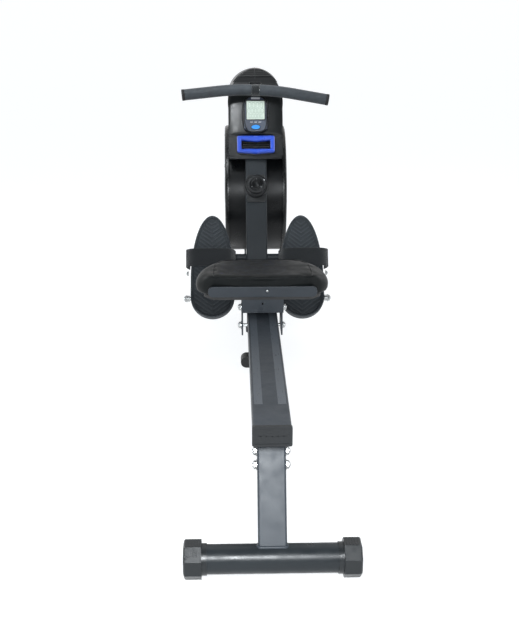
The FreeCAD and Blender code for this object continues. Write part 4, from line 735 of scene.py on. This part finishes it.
def build_foot_strap(side, word, body, place):
    """The webbing band over one foot, with its hook-and-loop end folded back over the outer half."""
    wide, thick, gap = 0.055, 0.0026, 0.0022
    middle_y = 0.155 + wide / 2
    points = []
    for share, mm in STRAP_LINE:
        reach = TREAD_HALF + gap if abs(share) == 1 else TREAD_HALF
        points.append(Vector((side * share * reach, middle_y, mm * MM)))
    path = smooth_path(points, 9)
    strap = band(f"foot_strap_band_{word}", path, ALONG_FOOT, wide, thick, WEB, body, place,
                 ripple=0.0006)
    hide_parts(f"foot_strap_{word}")

    def outward(line, i):
        return tangent_at(line, i).cross(ALONG_FOOT) * (-side)

    first, last = FLAP_SPAN[word]
    under = [point + Vector((0, 0.0015, 0)) for point in path[first:last]]
    lifted = [point + outward(under, i) * 0.0031 for i, point in enumerate(under)]
    flap_wide = wide * 0.96
    flap = band(f"foot_strap_flap_{word}", lifted, ALONG_FOOT, flap_wide, thick * 0.8, LOOP, body,
                place, ripple=0.0008)

    stitches = []
    for index in (3, 6, 10, 13):
        for k in range(13):
            centre = (lifted[index] + Vector((0, (k / 12 - 0.5) * wide * 0.84, 0))
                      + outward(lifted, index) * 0.0013)
            ends = [centre + ALONG_FOOT * reach for reach in (-0.0011, 0.0011)]
            stitches.append(bead(ends, 0.00045, sides=5))
    part(f"strap_stitches_{word}", merged(stitches), THREAD, body, "strap_webbing", place)


# ---- pull strap, handle

PULL_SLOPE = 12  # degrees up from the handle to the drum


def build_handle():
    """The pull strap from the handle's loop to the guide roller, and the loop's wrap and stitches."""
    loop_low, loop_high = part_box("strap_loop")
    centre = (loop_low + loop_high) / 2
    slope = radians(PULL_SLOPE)
    away = Vector((0, cos(slope), sin(slope)))
    start, run = 0.0165, 0.0735
    path = [centre + away * (start + run * i / 48) for i in range(49)]
    strap = band("pull_strap_band", path, ACROSS, 0.024, 0.002, WEB, None, across=8)
    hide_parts("pull_strap")
    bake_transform(strap)

    wrap = [Vector((centre.x, centre.y + y, centre.z + z)) for y, z in circle(0.0172, 40)]
    wrap.append(wrap[0].copy())
    cover = band("strap_wrap", wrap, ACROSS, 0.0255, 0.0022, LOOP, "handle", across=8)
    seams = []
    for x in (-0.0105, 0.0105):
        raised = [Vector((x, 0, 0)) + p + (p - centre).normalized() * 0.0012 for p in wrap]
        seams += [bead(pair, 0.0004, sides=5) for pair in zip(raised[::2], raised[1::2])]
    part("wrap_stitches", merged(seams), THREAD, "handle", "strap_webbing")
    build_grip_ends()


def build_grip_ends():
    """A moulded plug with a raised rim in each end of the bar."""
    bar = at((0.00024, 0.5755, 0.768)) @ Matrix.Rotation(radians(2), 4, "Y")
    profile = [(0.0170, -0.006), (0.0174, -0.003), (0.0174, 0.0015), (0.0160, 0.0032), (0.0128, 0.0036),
               (0.0118, 0.0014), (0.0050, 0.0008), (0.0004, 0.0010)]
    for side, word in SIDES:
        arm_end, arm_bend = Vector((side * 0.2275, -0.010, -0.022)), Vector((side * 0.062, 0, 0))
        out = (bar.to_3x3() @ (arm_end - arm_bend)).normalized()
        place = at(bar @ arm_end - out * 0.0032) @ facing(out)
        part(f"grip_plug_{word}", lathe(profile), RUBBER, "handle", "foam", place)


# ---- console and its panel

CONSOLE_W = 0.140  # the console's middle, up the panel's slope
CONSOLE_FACE = 0.013  # how far the console's face stands out of the panel


def on_panel(outline, out):
    """Points on the panel from an outline in x and w, across and up its slope, and out of its face."""
    return [FASCIA @ Vector((x, -out, w)) for x, w in outline]


def panel_plate(name, outline, out, thick, material, slot, bevel):
    """A flat plate whose underside lies that far out of the panel."""
    verts, faces = prism(outline, 0, thick)
    verts = [FASCIA @ Vector((x, -out - depth, w)) for x, w, depth in verts]
    part(name, (verts, faces), material, "frame", slot, smooth=False, bevel=bevel)


def rectangle(x, w, half_x, half_w, corner=0.0):
    """A rectangle's outline about x and w, with round corners if a corner radius is given."""
    if not corner:
        return [(x - half_x, w - half_w), (x + half_x, w - half_w),
                (x + half_x, w + half_w), (x - half_x, w + half_w)]
    points = []
    for turn, (sx, sw) in enumerate(((1, 1), (-1, 1), (-1, -1), (1, -1))):
        for step in range(5):
            angle = radians(90 * turn + 22.5 * step)
            points.append((x + sx * (half_x - corner) + corner * cos(angle),
                           w + sw * (half_w - corner) + corner * sin(angle)))
    return points


# a nought's bars: half widths across, whole widths up, and whether the bar lies flat
SEGMENTS = ((0, 1, True), (0, -1, True), (-1, 0.5, False), (1, 0.5, False), (-1, -0.5, False),
            (1, -0.5, False))


def digit(x, w, half):
    """One seven-segment nought made of flat bars."""
    parts = []
    end = half * 0.24 / 2
    for dx, dw, flat in SEGMENTS:
        parts.append(rectangle(x + dx * half, w + dw * 2 * half, half * 0.8 if flat else end,
                               end if flat else half * 0.8))
    return parts


def squarish(half_x, half_w, w, power_x, power_w):
    """An oval with squared corners; lower powers make it squarer."""
    points, steps = [], 72
    for i in range(steps):
        angle = TURN * i / steps
        c, s = cos(angle), sin(angle)
        points.append((half_x * copysign(abs(c) ** power_x, c),
                       w + half_w * copysign(abs(s) ** power_w, s)))
    return points


def build_console():
    """The case's rim, the display's rim and figures, a blank badge, three dashes and a collar."""
    rim = on_panel(squarish(0.0345, 0.0575, CONSOLE_W, 0.42, 0.75), CONSOLE_FACE - 0.0002)
    part("console_rim", bead(rim, 0.0016, closed=True), SHELL, "frame", "shroud_gloss")
    bezel = on_panel(rectangle(0, CONSOLE_W + 0.012, 0.0292, 0.0312, 0.003), CONSOLE_FACE + 0.0002)
    part("display_bezel", bead(bezel, 0.0013, closed=True), SATIN, "frame", "shroud_gloss")

    glass = CONSOLE_FACE - 0.0003
    bars = []
    for up, size, count in ((0.028, 0.0042, 4), (0.010, 0.0036, 5), (-0.007, 0.0030, 5)):
        for k in range(count):
            bars += digit((k - (count - 1) / 2) * size * 2.9, CONSOLE_W + up, size)
    verts, faces = merged([prism(bar, 0, 0.00025) for bar in bars])
    verts = [FASCIA @ Vector((x, -glass - depth, w)) for x, w, depth in verts]
    part("display_figures", (verts, faces), SEGMENT, "frame", "lcd", smooth=False)

    print_out = CONSOLE_FACE - 0.0002
    badge = rectangle(0, CONSOLE_W + 0.0505, 0.0135, 0.0030, 0.001)
    panel_plate("console_badge", badge, print_out, 0.0009, SILVER, "bolts", 0.0003)
    for k in (-1, 0, 1):
        dash = rectangle(k * 0.013, CONSOLE_W - 0.0265, 0.0042, 0.0007)
        panel_plate(f"console_mark_{k + 1}", dash, print_out, 0.0004, SILVER, "bolts", 0.0)
    oval = [(x * 0.0146, 0.097 + w * 0.0078) for x, w in circle(1, 40)]
    collar = on_panel(oval, CONSOLE_FACE + 0.0003)
    part("button_collar", bead(collar, 0.0009, closed=True), SATIN, "frame", "console_grey")


def pod_half_width(w):
    return 0.0836 - 0.0040 * max(0.0, (w - 0.115) / 0.090) ** 2


def build_pod():
    """The bulging shell round the console, which ends in a rounded lip over the handle rest."""
    low, high, rows, columns = 0.0745, 0.2030, 34, 36
    lip, crown, swell, deep = 0.010, 0.0060, 0.0008, 0.0055
    rings = []
    for row in range(rows + 1):
        w = low + (high - low) * row / rows
        half = pod_half_width(w)
        rise = sqrt(max(0.0, 1 - max(0.0, 1 - (w - low) / lip) ** 2))
        front = []
        for k in range(columns + 1):
            share = 2 * k / columns - 1
            out = crown * rise * (1 - abs(share) ** 5) + swell * cos(share * pi) * rise
            front.append(FASCIA @ Vector((half * share, -out, w)))
        back = [FASCIA @ Vector((half * share, deep, w)) for share in (1, -1)]
        rings.append(front + back)
    part("console_pod", rings_to_mesh(rings), SATIN, "frame", "shroud_gloss", bevel=0.0008)


def build_panel():
    """The wavy ribs behind the handle rest and the line of the hood round the console."""
    ribs = []
    for row in range(3):
        wave = [(x / 100, 0.0345 + 0.008 * row + 0.0022 * abs(sin(x * 0.75)))
                for x in (k * 0.4 - 4.2 for k in range(22))]
        ribs.append(bead(on_panel(wave, -0.0005), 0.0022))
    part("rest_ribs", merged(ribs), SHELL, "frame", "shroud_gloss")

    hood = on_panel(squarish(0.0405, 0.0605, CONSOLE_W, 0.5, 0.8), 0.0058)
    hood_line = bead(hood + hood[:1], 0.0026, closed=True)
    part("console_hood_line", hood_line, SHELL, "frame", "shroud_gloss")


# ---- shroud

def shroud_surface(x, y):
    """The height of the shroud's crown over a spot, by a ray down onto its CAD halves."""
    best = None
    for name in ("shroud_left", "shroud_right"):
        hit, where, _, _ = NODES[name].ray_cast(Vector((x, y, 1.0)), Vector((0, 0, -1)))
        if hit and (best is None or where.z > best):
            best = where.z
    return best


def build_crown():
    """Ribs across the shroud's crown behind the strap slot, the slot's collar and the centre seam."""
    ribs = []
    rim_y, pitch, reach, taper = 0.650, 0.011, 0.136, 0.006
    for row in range(5):
        y = rim_y + pitch * row
        line = []
        for k in range(25):
            x = (k / 24 - 0.5) * (reach - taper * row)
            height = shroud_surface(x if abs(x) > 0.001 else 0.001, y)
            if height:
                line.append(Vector((x, y, height + 0.0004)))
        if len(line) > 3:
            ribs.append(bead(line, 0.0012 if row else 0.0030))
    part("crown_ribs", merged(ribs), SATIN, "frame", "shroud_gloss")

    lip = on_panel(rectangle(0, 0.241, 0.0185, 0.0080, 0.004), -0.0055)
    part("slot_collar", bead(lip, 0.0022, closed=True), SATIN, "frame", "shroud_gloss")

    seam = []
    for k in range(60):
        y = 0.640 + 0.240 * k / 59
        height = shroud_surface(0.0008, y)
        if height:
            seam.append(Vector((0, y, height + 0.0001)))
    part("crown_seam", bead(seam, 0.0011), SATIN, "frame", "shroud_gloss")


def build_covers():
    """The swept vanes, boss and rim of each side cover, and its five screws."""
    count, inner, reach, sweep, sunk = 18, 0.062, 0.078, 0.018, -0.0020
    screw_circle = 0.182
    boss = lathe([(0.052, -0.0022), (0.050, 0.0008), (0.040, 0.0022), (0.036, 0.0008), (0.020, 0.0012),
                  (0.0005, 0.0016)], 64)
    rim = lathe([(0.1455, -0.0022), (0.1475, -0.0002), (0.1495, -0.0022)], 96)
    head = lathe([(0.0052, 0), (0.0050, 0.0012), (0.0030, 0.0022), (0.0026, 0.0010),
                  (0.0003, 0.0008)], 24)
    for side, word in SIDES:
        low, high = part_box(f"side_cover_{word}")
        face = high.x if side > 0 else -low.x
        place = sideways(side, face, (low.y + high.y) / 2, (low.z + high.z) / 2)
        vanes = []
        for k in range(count):
            turn = Matrix.Rotation(TURN * k / count, 4, "Z")
            line = [turn @ Vector((inner + reach * t, sweep * sin(t * 1.7), sunk))
                    for t in (i / 10 for i in range(11))]
            vanes.append(bead(line, 0.0028))
        part(f"cover_vanes_{word}", merged(vanes + [boss, rim]), SHELL, "frame", "cover_gloss", place)
        screws = []
        for k in range(5):
            angle = radians(36 + 72 * k)
            spot = (screw_circle * cos(angle), screw_circle * sin(angle), -0.0004)
            screws.append(moved(head, at(spot)))
        part(f"cover_screws_{word}", merged(screws), STEEL, "frame", "bolts", place)


# ---- frame details

def build_knob():
    """The knob's stepped cap, the ring and white dot on its skirt, and its arrows."""
    pivot = PIVOT["knob_turn"]
    out = MAST.to_3x3() @ Vector((0, -1, 0))
    turn = (MAST @ facing((0, -1, 0))).to_3x3().to_4x4()
    cap = at(pivot + out * 0.0295) @ turn
    skirt = at(pivot + out * 0.0074) @ turn
    dish = lathe([(0.0225, -0.0008), (0.0220, 0.0006), (0.0200, 0.0012), (0.0190, 0.0002),
                  (0.0150, 0.0002), (0.0142, 0.0020), (0.0122, 0.0020), (0.0115, 0.0004),
                  (0.0003, -0.0002)], 64)
    part("knob_cap", dish, SHELL, "knob", "knob_plastic", cap)
    ring = bead([(x, y, 0) for x, y in circle(0.0332, 64)], 0.0010, closed=True)
    part("knob_skirt_ring", ring, SHELL, "knob", "knob_plastic", skirt)
    pointer = lathe([(0.0024, -0.001), (0.0024, 0.0004), (0.0016, 0.0011), (0.0002, 0.0013)], 24)
    angle, reach = radians(38), 0.0302
    spot = at((reach * cos(angle), reach * sin(angle), 0))
    part("knob_pointer", moved(pointer, spot), WHITE, "knob", "knob_plastic", skirt)
    arrow = prism([(0.0140, -0.0008), (0.0182, 0), (0.0140, 0.0008)], 0, 0.0009)
    arrows = [moved(arrow, Matrix.Rotation(radians(degrees), 4, "Z")) for degrees in (90, 210, 330)]
    part("knob_arrows", merged(arrows), SILVER, "knob", "knob_plastic", cap, smooth=False)


def weld(name, points, body):
    """A rippled weld bead round a closed outline."""
    fine = []
    for a, b in zip(points, points[1:] + points[:1]):
        steps = max(2, int((b - a).length / 0.0022))
        fine += [a.lerp(b, k / steps) for k in range(steps)]
    part(name, bead(fine, 0.0032, closed=True, wobble=0.22), PAINT, body, "frame_paint")


def build_welds():
    """Welds at the foot of the rear post, at the front end of the base beam and at the mast's foot."""
    around = []
    for x, y in rectangle(0, 0, 0.028, 0.019, 0.004):
        around.append(POST @ Vector((x, y, sqrt(FOOT_RADIUS ** 2 - y ** 2))))
    weld("weld_post", around, "rail")

    low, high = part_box("base_beam")
    middle_z, half_tall = (low.z + high.z) / 2, (high.z - low.z) / 2
    ring = []
    for x, z in rectangle(0, 0, high.x, half_tall * 0.9, 0.003):
        above = middle_z + z - FRONT_FOOT_Z
        depth = sqrt(max(0.0, FOOT_RADIUS ** 2 - above ** 2))
        ring.append(Vector((x, FRONT_FOOT_Y - depth, middle_z + z)))
    weld("weld_front_foot", ring, "frame")

    up = MAST.to_3x3() @ Vector((0, 0, 1))
    foot = []
    for x, y in rectangle(0, 0, 0.0325, 0.020, 0.004):
        spot = MAST @ Vector((x, y, 0))
        foot.append(spot + up * ((high.z + 0.0004 - spot.z) / up.z))
    weld("weld_mast", foot, "frame")


def both_sides(name, spot, x, body, size):
    """A hexagon nut of a radius and height on each side of the machine, as far out as x."""
    for side, word in SIDES:
        place = sideways(side, x, spot.y, spot.z)
        part(f"{name}_{word}", hexagon_nut(*size), STEEL, body, "bolts", place, smooth=False,
             bevel=0.0003)


def dress_bolts():
    """Hexagon nuts over the plain bolt ends at the rollers, the post and the hinge."""
    small, large = (0.0086, 0.0068), (0.0100, 0.0070)
    for name in ("rear", "front", "under"):
        both_sides(f"roller_nut_{name}", PIVOT[f"{name}_roller_spin"], 0.0528, "seat", small)
    for name, along in (("low", 0.180), ("high", 0.207)):
        both_sides(f"post_nut_{name}", POST @ Vector((0, 0, along)), 0.0283, "rail", small)
    both_sides("fold_nut", PIVOT["rail_fold"], 0.0373, "frame", large)


def build_foot_details():
    """The moulded rim on each foot cap's end face and the grip ribs on its upper facet."""
    corner = pi / 8
    rim = ((0.86, -0.001), (0.86, 0.0004), (0.80, 0.0010), (0.76, 0.0002), (0.30, 0.0002))
    half_wide, half_long, pitch = 0.0011, 0.0135, 0.0055
    rib = prism([(-half_wide, -half_long), (half_wide, -half_long), (half_wide, half_long),
                 (-half_wide, half_long)], -0.0006, 0.0011)
    for node, body in (("rear_foot_caps", "rail"), ("front_foot_caps", "frame")):
        low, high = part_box(node)
        y, z, flats = (low.y + high.y) / 2, (low.z + high.z) / 2, (high.z - low.z) / 2
        for side, word in SIDES:
            rings = [[(a, b, out) for a, b in circle(flats / cos(corner) * share, 8, corner)]
                     for share, out in rim]
            place = sideways(side, high.x, y, z)
            part(f"{node}_face_{word}", rings_to_mesh(rings), CAP, body, "foot_plastic", place,
                 smooth=False)
            ribs = [moved(rib, at((side * (high.x - 0.006 - pitch * k), y, high.z))) for k in range(5)]
            part(f"{node}_ribs_{word}", merged(ribs), CAP, body, "foot_plastic", smooth=False)


def build_rail_details():
    """The polished tracks of the rollers along the rail and the moulded web in its end cap."""
    low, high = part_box("rail_beam")
    rear, front, top = low.y + 0.10, high.y - 0.06, high.z + 0.00012
    for side, word in SIDES:
        left, right = side * 0.024 - 0.0085, side * 0.024 + 0.0085
        verts = [(left, rear, top), (right, rear, top), (right, front, top), (left, front, top)]
        verts += [(x, y, z - 0.0002) for x, y, z in verts]
        faces = [(0, 1, 2, 3), (7, 6, 5, 4), (0, 4, 5, 1), (1, 5, 6, 2), (2, 6, 7, 3), (3, 7, 4, 0)]
        part(f"roller_track_{word}", (verts, faces), TRACK, "rail", "frame_paint", smooth=False)
    cap_low, cap_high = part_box("rail_end_cap")
    place = at((0, cap_low.y + 0.0024, (cap_low.z + cap_high.z) / 2)) @ facing((0, -1, 0))
    bars = [rectangle(0.011 * k, 0, 0.0011, 0.0150) for k in range(-2, 3)]
    bars.append(rectangle(0, 0, 0.0290, 0.0011))
    web = merged([prism(bar, -0.0006, 0.0016) for bar in bars])
    part("end_cap_web", web, PLASTIC, "rail", "foot_plastic", place, smooth=False)


def build_wheels():
    """Three raised rings round the tread of each transport wheel."""
    for _, word in SIDES:
        rings = []
        for offset in (-0.005, 0.0, 0.005):
            ring = [(offset, y, z) for y, z in circle(0.0216, 56)]
            rings.append(bead(ring, 0.0012, closed=True))
        place = at(PIVOT[f"wheel_{word}_spin"])
        part(f"wheel_tread_{word}", merged(rings), RUBBER, f"wheel_{word}", "pulley_plastic", place)


# ---- stage, light and camera

COOL, NEAR_WHITE = (0.93, 0.97, 1), (0.95, 0.98, 1)


def build_stage():
    """A wide pale floor that gives off nearly as much light as white paper would send back."""
    finish = Finish("pale_floor", (0.30, 0.30, 0.30), 0.9, specular=0.1)
    finish.vary_colour(finish.noise(1.5, 3), 0.985, 1.0)
    finish.bump(finish.noise(300, 2), 0.00005, 0.2)
    finish.set("Emission Color", (0.96, 0.98, 1.0, 1))
    finish.set("Emission Strength", 0.86)
    bpy.ops.mesh.primitive_plane_add(size=900, location=(0, 0, -0.0005))
    floor = bpy.context.object
    floor.name = "studio_floor"
    floor.data.materials.append(finish.material)


def build_world():
    """A studio, white at the horizon and above it dimmer behind the camera than ahead of it."""
    world = bpy.data.worlds.new("studio")
    bpy.context.scene.world = world
    world.use_nodes = True
    nodes, link = world.node_tree.nodes, world.node_tree.links.new
    place = nodes.new("ShaderNodeTexCoord")
    split = nodes.new("ShaderNodeSeparateXYZ")
    ramp = nodes.new("ShaderNodeValToRGB")
    shift = nodes.new("ShaderNodeMapRange")
    shift.inputs["From Min"].default_value = -1.0
    link(place.outputs["Generated"], split.inputs[0])
    link(split.outputs[1], shift.inputs[0])
    link(shift.outputs[0], ramp.inputs[0])
    horizon = nodes.new("ShaderNodeMapRange")
    for socket, value in (("From Min", 0.06), ("From Max", 0.2), ("To Min", 1.0), ("To Max", 0.0)):
        horizon.inputs[socket].default_value = value
    blend = nodes.new("ShaderNodeMixRGB")
    blend.inputs[2].default_value = (0.98, 0.99, 1, 1)
    link(split.outputs[2], horizon.inputs[0])
    link(horizon.outputs[0], blend.inputs[0])
    link(ramp.outputs[0], blend.inputs[1])
    link(blend.outputs[0], nodes["Background"].inputs[0])
    ramp.color_ramp.elements.new(0.5)
    for stop, where, grey in zip(ramp.color_ramp.elements, (0.05, 0.5), (0.17, 0.38)):
        stop.position = where
        stop.color = (grey * 0.95, grey * 0.98, grey, 1)


def lamp(name, where, target, size, power, colour, spread=180):
    """A square area lamp at a spot, aimed at a target, its power in watts and its spread in degrees."""
    light = bpy.data.lights.new(name, "AREA")
    light.shape, light.size, light.energy, light.color = "SQUARE", size, power, colour
    light.spread = radians(spread)
    aim = (Vector(target) - Vector(where)).to_track_quat("-Z", "Y").to_matrix().to_4x4()
    put(name, light, at(where) @ aim).visible_camera = False


def build_lights():
    lamp("key", (-0.08, -2.05, 1.02), (0, -0.9, 0.05), 0.35, 7.0, COOL, 76)
    lamp("pod_light", (-0.45, -0.15, 1.75), (0, 0.72, 0.80), 0.5, 1.9, COOL, 46)
    lamp("drum_light", (0.2, -1.4, 1.05), (0, 0.53, 0.45), 0.5, 0.12, COOL, 28)
    lamp("overhead", (0.3, 0.9, 3.0), (0, 0.4, 0), 1.8, 8, NEAR_WHITE)
    for side, word in SIDES:
        lamp(f"side_{word}", (side * 2.4, 1.0, 1.2), (0, 0.6, 0.4), 1.2, 12, NEAR_WHITE)


def build_camera():
    """The view from behind the rear foot, with its lens given in picture heights."""
    pitch, turn, sensor, heights = 19.09, 1.47, 36, 1000 / 640
    camera = bpy.data.cameras.new("camera")
    camera.sensor_width = sensor
    camera.lens = sensor * heights
    made = put("camera", camera, Matrix())
    made.rotation_euler = (radians(90 - pitch), 0, radians(-turn))
    made.location = (-0.0686, -2.583, 1.1077)
    bpy.context.scene.camera = made
    bpy.context.scene.view_settings.view_transform = "Standard"


finish_cad_nodes()
build_seat()
for pedal_side, pedal_word in SIDES:
    build_pedal(pedal_side, pedal_word)
build_handle()
build_console()
build_pod()
build_panel()
build_crown()
build_covers()
build_knob()
build_welds()
dress_bolts()
build_foot_details()
build_rail_details()
build_wheels()
build_stage()
build_world()
build_lights()
build_camera()
